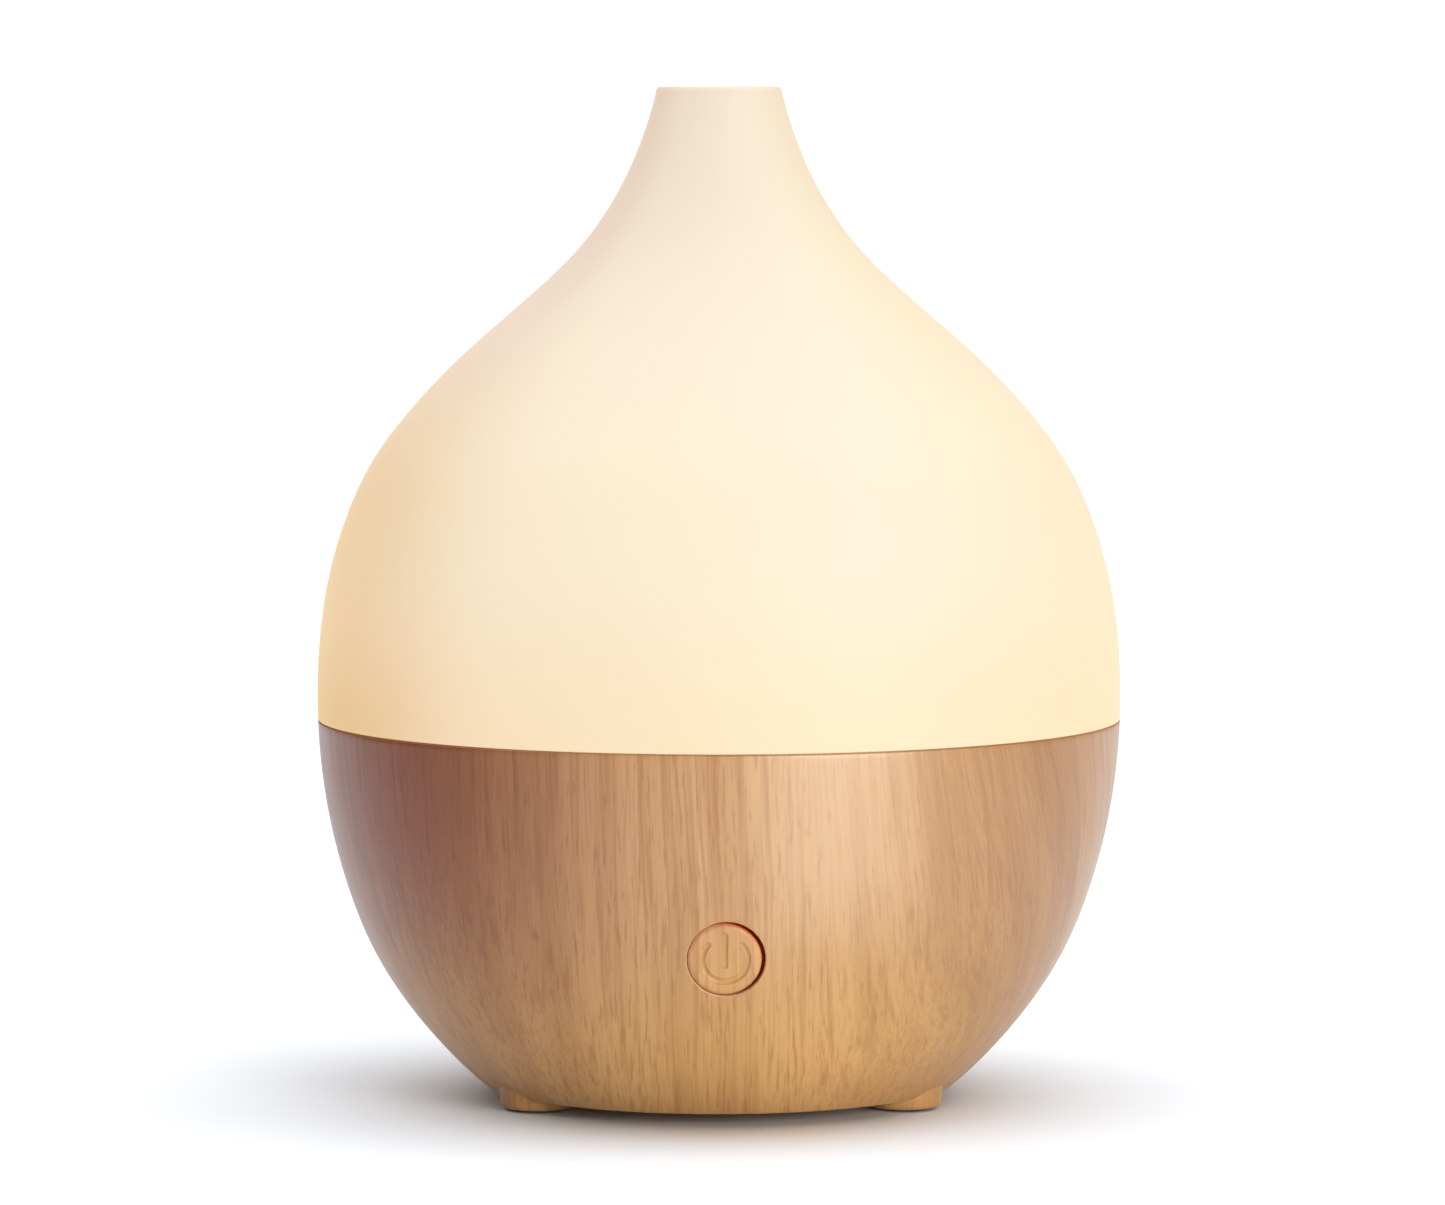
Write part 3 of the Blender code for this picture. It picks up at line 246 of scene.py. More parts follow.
def add_block(shape, low, high):
    low, high = Vector(low) * MM, Vector(high) * MM
    size = Matrix.Diagonal((*(high - low), 1.0))
    bmesh.ops.create_cube(shape, size=1.0, matrix=Matrix.Translation((low + high) / 2) @ size)


def add_cross(shape, reach, width, low, high):
    """Two crossed bars, along X and along Y, between two heights."""
    add_block(shape, (-reach, -width, low), (reach, width, high))
    add_block(shape, (-width, -reach, low), (width, reach, high))


def add_bevelled(shape, low, high, offset, segments):
    add_block(shape, low, high)
    bmesh.ops.bevel(shape, geom=shape.edges[:], offset=offset * MM, segments=segments, affect="EDGES",
                    profile=0.5)


def boolean(piece, tool, operation="DIFFERENCE", own=False):
    """Cuts, joins or intersects a piece with a tool at once, and removes the tool; own: its parts overlap."""
    change = piece.modifiers.new(tool.name, "BOOLEAN")
    change.operation = operation
    change.solver = "EXACT"
    change.use_self = own
    change.object = tool
    bpy.context.view_layer.update()
    graph = bpy.context.evaluated_depsgraph_get()
    result = bpy.data.meshes.new_from_object(piece.evaluated_get(graph))
    piece.modifiers.clear()
    old = piece.data
    piece.data = result
    bpy.data.meshes.remove(old)
    bpy.data.objects.remove(tool)
    return piece


def settle(piece, body, slot, material, *nodes):
    """Gives a piece its material and body, and hides the CAD nodes it stands for; slot is not used."""
    piece.data.materials.clear()
    piece.data.materials.append(material)
    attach(piece, body)
    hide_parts(*nodes)


def on_circle(radius, degrees):
    angle = math.radians(degrees)
    return radius * math.cos(angle), radius * math.sin(angle)


def foot_centres():
    return [on_circle(33.9, angle) for angle in FOOT_ANGLES]


def plate_screw_centres():
    return [on_circle(20.5, angle) for angle in FOOT_ANGLES]


def clamp_screw_centres():
    return [on_circle(14.0, angle) for angle in CLAMP_ANGLES]


def face_point(across, up, inset, side=-1, height=BUTTON_HEIGHT):
    """Point of the bowl's outer surface seen along Y, moved inwards along Y by inset."""
    radius, _ = body_radius(height + up)
    return Vector((across, side * (math.sqrt(radius ** 2 - across ** 2) - inset), height + up)) * MM


def add_plug(shape, rings, side, height, sides=96):
    """Closed plug on the bowl's surface, along Y: rings are (radius, inset) or (radius, None, y)."""
    loops = []
    for radius, inset, *y in rings:
        loop = []
        for i in range(sides):
            across, up = on_circle(radius, 360.0 * i / sides)
            if inset is None:
                loop.append(shape.verts.new(Vector((across, y[0], height + up)) * MM))
            else:
                loop.append(shape.verts.new(face_point(across, up, inset, side, height)))
        loops.append(loop)
    add_loops(shape, loops)


# ---------- material helpers

def node(tree, kind, inputs=(), **settings):
    """Shader node with its settings, its inputs set or linked."""
    made = tree.nodes.new("ShaderNode" + kind)
    for key, value in settings.items():
        setattr(made, key, value)
    for key, value in dict(inputs).items():
        if isinstance(value, bpy.types.NodeSocket):
            tree.links.new(value, made.inputs[key])
        else:
            made.inputs[key].default_value = value
    return made


def feed(surface, socket, value):
    surface.id_data.links.new(value, surface.inputs[socket])


def calc(tree, operation, *values):
    return node(tree, "Math", dict(enumerate(values)), operation=operation).outputs[0]


def times(tree, first, second):
    return calc(tree, "MULTIPLY", first, second)


def spread(tree, value, low, high, start=0.0, end=1.0, smooth=True):
    """Value from low..high taken to start..end."""
    inputs = {"Value": value, "From Min": low, "From Max": high, "To Min": start, "To Max": end}
    return node(tree, "MapRange", inputs,
                interpolation_type="SMOOTHSTEP" if smooth else "LINEAR").outputs["Result"]


def blend(tree, share, first, second, mode="MIX"):
    inputs = {0: share, 6: first, 7: second}
    return node(tree, "Mix", inputs, data_type="RGBA", blend_type=mode).outputs[2]


def noise(tree, vector, scale, detail=2.0, roughness=0.5):
    inputs = {"Vector": vector, "Scale": scale, "Detail": detail, "Roughness": roughness}
    return node(tree, "TexNoise", inputs).outputs["Fac"]


def scaled(tree, vector, x, y, z):
    inputs = {0: vector, 1: (x, y, z)}
    return node(tree, "VectorMath", inputs, operation="MULTIPLY").outputs[0]


def vector_of(tree, x, y, z):
    return node(tree, "CombineXYZ", {0: x, 1: y, 2: z}).outputs[0]


def distance_to(tree, point, place):
    return node(tree, "VectorMath", {0: point, 1: place}, operation="DISTANCE").outputs["Value"]


def direction_across(tree, place):
    """Level direction from the body's axis to a place, of length one."""
    return node(tree, "VectorMath", {0: scaled(tree, place, 1.0, 1.0, 0.0)}, operation="NORMALIZE").outputs[0]


def bump(tree, surface, height, strength, distance):
    made = node(tree, "Bump", {"Height": height, "Strength": strength, "Distance": distance * MM})
    feed(surface, "Normal", made.outputs["Normal"])


def start_material(name, **sockets):
    """Material, its tree, its Principled shader, and the place in millimetres, with constant sockets set."""
    material = bpy.data.materials.new(name)
    material.use_nodes = True
    tree = material.node_tree
    surface = tree.nodes["Principled BSDF"]
    for key, value in sockets.items():
        surface.inputs[key.replace("_", " ")].default_value = value
    place = node(tree, "TexCoord").outputs["Object"]
    return material, tree, surface, scaled(tree, place, 1000.0, 1000.0, 1000.0)


def moulded(name, color, roughness, grain=0.25, tone=0.12, depth=0.02, **sockets):
    """Moulded or cast surface: a slight change of tone, an uneven gloss, and a fine grain in relief."""
    material, tree, surface, place = start_material(name, **sockets)
    cloud = noise(tree, place, 0.06, 3.0)
    fine = noise(tree, place, 1.0 / grain, 3.0, 0.6)
    low = tuple(channel * (1.0 - tone) for channel in color) + (1.0,)
    high = tuple(min(1.0, channel * (1.0 + tone)) for channel in color) + (1.0,)
    share = calc(tree, "MULTIPLY_ADD", fine, 0.3, times(tree, cloud, 0.7))
    feed(surface, "Base Color", blend(tree, spread(tree, share, 0.35, 0.65), low, high))
    feed(surface, "Roughness", spread(tree, cloud, 0.3, 0.7, roughness * 0.88, roughness * 1.12))
    bump(tree, surface, fine, 0.35, depth)
    return material


def circuit_board():
    """Green solder mask over raised tracks, with tinned pads."""
    material, tree, surface, place = start_material("circuit_board")
    mesh = {"Vector": place, "Scale": 0.30, "Mortar Size": 0.04, "Brick Width": 0.9, "Row Height": 0.35}
    tracks = node(tree, "TexBrick", mesh, offset=0.37).outputs["Fac"]
    cell = node(tree, "TexVoronoi", {"Vector": place, "Scale": 0.45})
    chosen = spread(tree, cell.outputs["Color"], 0.58, 0.62)
    pads = times(tree, spread(tree, cell.outputs["Distance"], 0.26, 0.20), chosen)
    cloud = noise(tree, place, 0.4)
    mask = blend(tree, spread(tree, cloud, 0.3, 0.7), (0.018, 0.13, 0.05, 1.0), (0.03, 0.18, 0.075, 1.0))
    color = blend(tree, times(tree, tracks, 0.6), mask, (0.10, 0.36, 0.16, 1.0))
    feed(surface, "Base Color", blend(tree, pads, color, (0.62, 0.62, 0.58, 1.0)))
    feed(surface, "Metallic", pads)
    feed(surface, "Roughness", spread(tree, cloud, 0.3, 0.7, 0.30, 0.42))
    bump(tree, surface, calc(tree, "ADD", tracks, pads), 0.4, 0.03)
    return material


def winding():
    """Enamelled copper wire, turn on turn."""
    material, tree, surface, place = start_material("copper_winding", Metallic=1.0)
    height = node(tree, "SeparateXYZ", {0: place}).outputs[2]
    turns = calc(tree, "SINE", times(tree, height, 2 * math.pi / 0.3))
    cloud = noise(tree, place, 1.2)
    tone = calc(tree, "MULTIPLY_ADD", turns, 0.25, cloud)
    color = blend(tree, spread(tree, tone, 0.2, 0.8), (0.34, 0.12, 0.05, 1.0), (0.76, 0.36, 0.18, 1.0))
    feed(surface, "Base Color", color)
    feed(surface, "Roughness", spread(tree, cloud, 0.3, 0.7, 0.26, 0.38))
    bump(tree, surface, turns, 0.6, 0.05)
    return material


def brushed(name, color, roughness, step):
    """Bare metal with fine scratches along X and a slight tarnish."""
    material, tree, surface, place = start_material(name, Metallic=1.0)
    scratches = noise(tree, scaled(tree, place, 0.06, 1.0, 1.0), 1.0 / step, 3.0, 0.6)
    cloud = noise(tree, place, 0.25)
    low = tuple(channel * 0.78 for channel in color) + (1.0,)
    tone = calc(tree, "MULTIPLY_ADD", scratches, 0.5, times(tree, cloud, 0.5))
    mixed = blend(tree, spread(tree, tone, 0.35, 0.6), low, (*color, 1.0))
    feed(surface, "Base Color", mixed)
    feed(surface, "Roughness", spread(tree, scratches, 0.3, 0.7, roughness * 0.8, roughness * 1.25))
    bump(tree, surface, scratches, 0.25, 0.01)
    return material


# ---------- wood finish

def wood(name, lift, gap_at, gap_start, gap_full):
    """Light oak in a satin lacquer: rift-sawn bands, fibres and pores down the bowl, with painted shade on
    the left and the right and a painted highlight high on the front.

    lift brightens its tones. gap_at is the middle of the walls round the button, whose painted light and
    shade come in from gap_start to gap_full away from it.
    """
    material, tree, surface, place = start_material(name, Coat_Weight=0.6, Coat_Roughness=0.36,
                                                    Specular_IOR_Level=0.16)
    across, deep, along = node(tree, "SeparateXYZ", {0: place}).outputs
    # Grain runs straight down the front, and wraps round the sides: turn_x and turn_y are on a cylinder
    on_wrap = scaled(tree, direction_across(tree, place), WRAP, WRAP, 0.0)
    turn_x, turn_y = node(tree, "SeparateXYZ", {0: on_wrap}).outputs[:2]
    side = spread(tree, calc(tree, "ABSOLUTE", turn_x), 44.0, 62.0)
    width = calc(tree, "MULTIPLY_ADD", calc(tree, "SUBTRACT", turn_x, across), side, across)
    drift = noise(tree, vector_of(tree, turn_x, turn_y, times(tree, along, 0.7)), 0.017, 1.0)
    shiver = noise(tree, vector_of(tree, turn_x, turn_y, times(tree, along, 0.3)), 0.10)
    # On the right the bands lean outwards going down, and swirl about a knot low on that side
    slope = spread(tree, across, 8.0, 52.0, 0.02, 0.42)
    lean = times(tree, calc(tree, "SUBTRACT", along, 30.0), slope)
    swirl = spread(tree, distance_to(tree, place, (37.0, -46.0, 27.0)), 16.0, 2.0, 0.0, 2.2)

    def around(shift, stretch):
        """Place on the cylinder, moved round it by shift, with heights pressed together by stretch."""
        point = vector_of(tree, width, turn_y, times(tree, along, stretch))
        angle = calc(tree, "DIVIDE", shift, WRAP)
        inputs = {"Vector": point, "Angle": angle}
        return node(tree, "VectorRotate", inputs, rotation_type="Z_AXIS").outputs[0]

    bend = calc(tree, "MULTIPLY_ADD", drift, 9.0, calc(tree, "ADD", lean, swirl))
    grain = around(calc(tree, "MULTIPLY_ADD", shiver, 1.5, bend), 0.018)
    broad = noise(tree, grain, 0.13, 2.0, 0.55)
    lines = noise(tree, grain, 0.66, 3.0, 0.62)
    fibres = noise(tree, around(calc(tree, "MULTIPLY_ADD", shiver, 2.0, lean), 0.03), 2.0, 2.0, 0.6)
    # Pores: short reddish streaks down the wood
    pores = noise(tree, around(calc(tree, "ADD", lean, shiver), 0.10), 1.7, 2.0, 0.55)
    pores = spread(tree, pores, 0.53, 0.70)

    tones = (PALE, TAN, BROWN, REDDISH)
    pale, tan, brown, reddish = (tuple(lift * channel for channel in tone) + (1.0,) for tone in tones)
    color = blend(tree, spread(tree, broad, 0.36, 0.64), pale, tan)
    strong = spread(tree, across, 5.0, 45.0, 0.56, 0.38)
    color = blend(tree, times(tree, spread(tree, lines, 0.48, 0.70), strong), color, brown)
    color = blend(tree, times(tree, spread(tree, fibres, 0.46, 0.72), 0.30), color, brown)
    seen = spread(tree, across, 0.0, 45.0, 0.55, 0.30)
    color = blend(tree, times(tree, pores, seen), color, reddish)
    # Painted shade: red-brown high on the left, browner on the right; more yellow towards the foot
    left_shade = spread(tree, across, 2.0, -53.0)
    left_shade = times(tree, left_shade, spread(tree, along, 4.0, 52.0, 0.35, 1.0))
    color = blend(tree, left_shade, color, LEFT_SHADE_TINT, "MULTIPLY")
    color = blend(tree, spread(tree, across, 18.0, 50.0), color, RIGHT_SHADE_TINT, "MULTIPLY")
    color = blend(tree, spread(tree, along, 8.0, 30.0), color, UPPER_TINT, "MULTIPLY")
    # Painted highlight: a pale sheen, high and a little to the right of the front
    aside = calc(tree, "ABSOLUTE", calc(tree, "SUBTRACT", across, 17.0))
    sheen = spread(tree, aside, 20.0, 2.0)
    sheen = times(tree, sheen, spread(tree, along, 24.0, 46.0, 0.0, 0.36))
    color = blend(tree, sheen, color, PAINTED_SHEEN)
    color = blend(tree, spread(tree, along, 44.0, 12.0, 0.0, 0.75), color, FOOT_TINT, "MULTIPLY")
    # Painted light and shade on the walls of the gap round the button, which light reaches by way of each
    # other:
    # paler low on the left, redder on the right
    reach = distance_to(tree, vector_of(tree, across, 0.0, along), gap_at)
    gap = times(tree, spread(tree, reach, gap_start, gap_full), spread(tree, deep, 0.0, -20.0))
    shaded = calc(tree, "MULTIPLY_ADD", calc(tree, "SUBTRACT", along, BUTTON_HEIGHT), 0.5, across)
    painted_gap_color = blend(tree, spread(tree, shaded, -1.0, 6.5), PAINTED_GAP_LIT, PAINTED_GAP_SHADE)
    color = blend(tree, gap, color, painted_gap_color)
    feed(surface, "Base Color", color)
    feed(surface, "Roughness", spread(tree, fibres, 0.3, 0.7, 0.36, 0.48))
    relief = calc(tree, "MULTIPLY_ADD", pores, -0.8, times(tree, fibres, 0.35))
    bump(tree, surface, relief, 0.2, 0.02)
    return material


# ---------- frosted cover, lit from inside

def frosted():
    """Frosted plastic that gives off the lamps' light itself: warmer low down, with painted shade on the left
    and the right.
    """
    material, tree, surface, place = start_material("frosted_cover", Specular_IOR_Level=0.25,
                                                    Emission_Strength=1.0)
    height = node(tree, "SeparateXYZ", {0: place}).outputs[2]
    cloud = noise(tree, place, 0.02)
    fine = noise(tree, place, 3.5)
    up = spread(tree, height, 60.0, 165.0, smooth=False)
    tint = blend(tree, up, FROST_LOW, FROST_HIGH)
    tint = blend(tree, spread(tree, cloud, 0.35, 0.65, 0.0, 0.25), tint, FROST_CLOUD)
    feed(surface, "Base Color", tint)
    low_glow = blend(tree, spread(tree, height, 61.0, 92.0), GLOW_SEAM, GLOW_MIDDLE)
    glow = blend(tree, spread(tree, height, 88.0, 150.0), low_glow, GLOW_NOZZLE)
    glow = blend(tree, spread(tree, cloud, 0.3, 0.7, 0.0, 0.20), glow, GLOW_CLOUD)
    # Painted shade: less light towards the left and the right, and warmer low down on the left
    aside = node(tree, "SeparateXYZ", {0: direction_across(tree, place)}).outputs[0]
    cover_shade = blend(tree, spread(tree, height, 60.0, 80.0), COVER_SHADE_SEAM, COVER_SHADE_MIDDLE)
    cover_shade = blend(tree, spread(tree, height, 95.0, 130.0), cover_shade, COVER_SHADE_NOZZLE)
    glow = blend(tree, spread(tree, aside, -0.55, -1.0), glow, cover_shade, "MULTIPLY")
    glow = blend(tree, spread(tree, aside, 0.35, 1.0), glow, COVER_SHADE_RIGHT, "MULTIPLY")
    feed(surface, "Emission Color", glow)
    feed(surface, "Roughness", spread(tree, fine, 0.3, 0.7, 0.50, 0.58))
    bump(tree, surface, fine, 0.15, 0.02)
    return material


# ---------- exterior pieces

def make_cover(material):
    """Cover: the body's curve outside, an even wall, a rounded lip at the nozzle."""
    top, edge = BODY_TOP, OPEN_EDGE
    lip_width, lip_height = 0.75, 1.3
    outer = body_line(top - lip_height, COVER_BOTTOM + edge, 150)
    last_radius = outer[-1][0]
    bottom_radius = float(body_radius(COVER_BOTTOM)[0])
    inner = [(max(radius, NOZZLE_BORE), height) for radius, height in
             body_line(COVER_BOTTOM + edge, top - 0.6, 110, COVER_WALL)]
    lip = []
    for i in range(9):
        angle = math.radians(90.0 * i / 8)
        lip.append((outer[0][0] - lip_width + lip_width * math.sin(angle),
                    top - lip_height + lip_height * math.cos(angle)))
    mouth = [(NOZZLE_BORE, top - 0.5), (NOZZLE_BORE + 0.12, top - 0.18), (NOZZLE_BORE + 0.45, top)]
    base = [(last_radius - 0.03, COVER_BOTTOM + 0.05), (last_radius - edge, COVER_BOTTOM),
            (bottom_radius - COVER_WALL + edge, COVER_BOTTOM), (inner[0][0] + 0.03, COVER_BOTTOM + 0.05)]
    profile = [*lip[:-1], *outer, *base, *inner, *mouth]
    cover = turned("cover_shell", profile, sides=192, smooth=50.0)
    settle(cover, "cover", "frosted_cover", material, "mist_cover")


def bowl_wall():
    """Bowl with its ledge for the tank and the opening for the intake plate."""
    top, edge = BOWL_TOP, OPEN_EDGE
    outer = body_line(top - edge, BODY_BOTTOM + 0.2, 84)
    rim = [(outer[0][0] - edge, top), (outer[0][0] - 0.03, top - 0.05)]
    under = rounded([(float(body_radius(BODY_BOTTOM)[0]) - 0.6, BODY_BOTTOM), (24.6, BODY_BOTTOM),
                     (24.3, BODY_BOTTOM + 0.3), (24.3, 4.4), (14.5, 4.4), (14.5, FLOOR_TOP),
                     (39.3, FLOOR_TOP, 0.6)], closed=False)
    inner = body_line(FLOOR_TOP + 1.2, LEDGE_TOP - 5.0, 40, SHELL_WALL)
    inner = [point for point in inner if point[0] > 39.8]
    ledge = [(60.0, LEDGE_TOP - 1.5), (60.0, LEDGE_TOP), (62.7, LEDGE_TOP), (62.7, top - 0.2), (62.9, top)]
    return turned("bowl", [*rim, *outer, *under, *inner, *ledge], sides=180)


def bowl_additions():
    """Posts, button collar, and the jack's seat and rails, as one tool that make_bowl trims to the inside of
    the wall.
    """
    shape = bmesh.new()
    add_rod(shape, (0, -62, BUTTON_HEIGHT), (0, -51.7, BUTTON_HEIGHT), 8.0, 48)
    for side in (-1, 1):
        add_rod(shape, (side * SWITCH_SCREW_REACH, -62, BUTTON_HEIGHT),
                (side * SWITCH_SCREW_REACH, -46.1, BUTTON_HEIGHT), 2.2)
        add_block(shape, (side * 5.75 - 0.75, 44.0, 23.5), (side * 5.75 + 0.75, 53.4, 36.5))
    add_block(shape, (-7.5, 53.3, 23.0), (7.5, 62.0, 37.0))
    return new_object("bowl_additions", shape, cutter=True)


def bowl_feet():
    """Feet with a rounded lower edge, and the posts of the board, as one tool."""
    shape = bmesh.new()
    foot = rounded([(0.0, 5.5), (6.3, 5.5), (6.0, 0.4, 0.9), (0.0, 0.4)], closed=False)
    for x, y in foot_centres():
        add_turned(shape, foot, 64, closed=False, at=(x, y, 0.0))
    post, post_y = BOARD_POST
    for side in (-1, 1):
        add_rod(shape, (side * post, post_y, 5.4), (side * post, post_y, 8.7), 2.8)
    return new_object("bowl_feet", shape, cutter=True)


def bowl_cuts():
    """Foot pad seats, screw holes, and the rounded holes for the button and the socket, as one tool."""
    shape = bmesh.new()
    pad_seat = rounded([(0.0, 7.2), (1.5, 7.2), (1.5, 4.2), (2.6, 4.2), (2.6, 1.7), (4.5, 1.7), (4.5, 0.7),
                        (4.8, 0.4), (4.8, -1.0), (0.0, -1.0)], closed=False)
    for x, y in foot_centres():
        add_turned(shape, pad_seat, 48, closed=False, at=(x, y, 0.0))
    post, post_y = BOARD_POST
    for side in (-1, 1):
        fan, switch = side * FAN_SCREW_REACH, side * SWITCH_SCREW_REACH
        add_rod(shape, (side * post, post_y, 6.6), (side * post, post_y, 10.0), 1.2)
        add_rod(shape, (fan, fan, 3.4), (fan, fan, 7.2), 1.4)
        add_rod(shape, (switch, -50.0, BUTTON_HEIGHT), (switch, -44.0, BUTTON_HEIGHT), 1.2)
    for x, y in plate_screw_centres():
        add_rod(shape, (x, y, 3.4), (x, y, 7.2), 1.2)
    for hole, side, height in ((BUTTON_HOLE, -1, BUTTON_HEIGHT), (JACK_HOLE, 1, JACK_HEIGHT)):
        edge = 0.28
        add_plug(shape, ((hole, None, side * 48.0), (hole, edge), (hole + 0.08, 0.09), (hole + edge, -0.02),
                         (hole + edge, -4.0)), side, height)
    return new_object("bowl_cuts", shape, cutter=True)


def follow_body(piece):
    """Sets the shading normals of the faces on the body's outer curve to that curve's own."""
    mesh = piece.data
    mesh.shade_smooth()
    mesh.set_sharp_from_angle(angle=math.radians(30.0))
    places = np.empty(len(mesh.vertices) * 3)
    mesh.vertices.foreach_get("co", places)
    places = places.reshape(-1, 3) / MM
    normals = np.empty(len(mesh.loops) * 3)
    mesh.corner_normals.foreach_get("vector", normals)
    normals = normals.reshape(-1, 3)
    corner_of = np.empty(len(mesh.loops), int)
    mesh.loops.foreach_get("vertex_index", corner_of)
    x, y, height = places.T
    reach = np.hypot(x, y)
    radius, slope = body_radius(height)
    outside = (abs(reach - radius) < 0.02) & (height > BODY_BOTTOM + 0.1) & (height < BOWL_TOP - 0.2)
    own = np.column_stack((x / np.maximum(reach, 1e-6), y / np.maximum(reach, 1e-6), -slope))
    own /= np.linalg.norm(own, axis=1)[:, None]
    for face in mesh.polygons:
        loops = range(face.loop_start, face.loop_start + face.loop_total)
        corners = [corner_of[k] for k in loops]
        if outside[corners].all():
            for k, corner in zip(loops, corners):
                normals[k] = own[corner]
    mesh.normals_split_custom_set(normals.tolist())


def make_bowl(material):
    """Bowl: its wall, what stands on its inside and under it, and its holes."""
    bowl = bowl_wall()
    core_line = body_line(BOWL_TOP, BODY_BOTTOM + 3.0, 60, SHELL_WALL / 2)
    core = turned("bowl_core", [(0.0, core_line[0][1]), *core_line, (0.0, core_line[-1][1])], sides=180,
                  closed=False, cutter=True)
    additions = boolean(bowl_additions(), core, "INTERSECT", own=True)
    boolean(bowl, additions, "UNION")
    boolean(bowl, bowl_feet(), "UNION")
    boolean(bowl, bowl_cuts())
    follow_body(bowl)
    settle(bowl, "base", "oak_finish", material, "base_shell")


def symbol_depth(across, up):
    """Depth of the power symbol's groove at places on the button's face: an open ring and an upright bar."""
    half_width, deep = 0.56, 0.42
    ring_radius, ring_opening = 3.55, 48.0
    bar_foot, bar_top = -0.9, 3.9
    angle = np.degrees(np.arctan2(across, up))
    ring_angle = np.radians(np.clip(np.abs(angle), ring_opening, 180.0)) * np.sign(angle + 1e-9)
    ring = np.hypot(across - ring_radius * np.sin(ring_angle), up - ring_radius * np.cos(ring_angle))
    bar = np.hypot(across, up - np.clip(up, bar_foot, bar_top))
    near = np.minimum(ring, bar) / half_width
    return deep * np.clip(1.0 - near ** 2, 0.0, 1.0)


def make_button(material):
    """Button cap: its face carries on the bowl's curve, slightly sunk, with a rounded rim and the symbol."""
    sides = 288
    angles = np.linspace(0.0, 2 * math.pi, sides, endpoint=False)
    face = [(radius, 0.30) for radius in np.linspace(0.08, 4.85, 72)]
    rim = [(5.05, 0.305), (5.22, 0.34), (5.40, 0.42), (5.56, 0.55), (5.68, 0.74), (BUTTON_RADIUS, 1.05)]
    shape = bmesh.new()
    loops = []
    for radius, inset in [*face, *rim]:
        across, up = radius * np.cos(angles), radius * np.sin(angles)
        sunk = inset + symbol_depth(across, up)
        loops.append([shape.verts.new(face_point(a, u, s)) for a, u, s in zip(across, up, sunk)])
    for radius, y in ((BUTTON_RADIUS, BUTTON_BACK - 1.0), (7.2, BUTTON_BACK - 1.0), (7.4, BUTTON_BACK - 0.8),
                      (7.4, BUTTON_BACK), (0.5, BUTTON_BACK)):
        loop = [(radius * math.cos(a), y, BUTTON_HEIGHT + radius * math.sin(a)) for a in angles]
        loops.append([shape.verts.new(Vector(point) * MM) for point in loop])
    add_loops(shape, loops)
    button = new_object("power_button", shape, 40.0)
    button.data.transform(moved((BUTTON_SHIFT[0], 0.0, BUTTON_SHIFT[1])))
    settle(button, "button", "oak_finish", material, "button_cap")


# ---------- inside the cover, the bowl and the feet

def make_guide(material):
    """Chimney inside the cover, with a bell mouth."""
    outside = rounded([(7.6, 162.4, 0.4), (7.6, 98.0, 22.0), (14.0, 88.0, 0.5)], closed=False)
    inside = rounded([(12.6, 88.0, 0.4), (6.2, 98.5, 22.0), (6.2, 162.4, 0.4)], closed=False)
    guide = turned("guide_tube", [(6.6, 162.4), *outside, *inside])
    settle(guide, "cover", "clear_plastic", material, "mist_guide")


def make_tank(material):
    """Stepped basin with rounded corners, fill line, screw bosses, pegs and the air column."""
    outside = rounded([(62.4, 66.0, 0.4), (62.4, 57.3, 0.3), (59.6, 57.3, 0.3), (59.6, 47.0, 2.5),
                       (41.0, 36.5, 3.0), (41.0, 25.0, 1.0), (16.0, 25.0), (16.0, 22.1, 0.3),
                       (12.0, 22.1, 0.2), (12.0, 25.0), (8.6, 25.0), (8.6, 27.0, 0.7), (39.0, 27.0, 3.0),
                       (39.0, 37.7, 2.5),
                       (57.6, 48.2, 2.0), (57.6, 53.5), (57.35, 53.7), (57.35, 54.2), (57.6, 54.4),
                       (57.6, 59.3, 0.8), (60.4, 59.3, 0.5), (60.4, 66.0, 0.5)])
    tank = turned("tank_basin", outside, sides=144)
    posts = bmesh.new()
    for x, y in foot_centres():
        add_rod(posts, (x, y, 6.5), (x, y, 26.0), 3.3)
    for angle in (0.0, 120.0, 240.0):
        x, y = on_circle(LED_CIRCLE, angle)
        add_rod(posts, (x, y, 21.6), (x, y, 26.0), 0.9)
    column = rounded([(0.0, 66.0), (6.2, 66.0, 0.5), (6.2, 29.5, 2.5), (9.5, 26.0), (0.0, 26.0)],
                     closed=False)
    add_turned(posts, column, 64, closed=False, at=(*COLUMN_AT, 0.0))
    boolean(tank, new_object("tank_posts", posts, cutter=True), "UNION", own=True)
    holes = bmesh.new()
    add_rod(holes, (*COLUMN_AT, 20.0), (*COLUMN_AT, 70.0), 4.4, 64)
    for x, y in foot_centres():
        add_rod(holes, (x, y, 5.2), (x, y, 15.5), 1.5)
    for x, y in clamp_screw_centres():
        add_rod(holes, (x, y, 21.1), (x, y, 24.4), 1.1)
    boolean(tank, new_object("tank_holes", holes, cutter=True))
    settle(tank, "base", "tank_plastic", material, "water_tank")


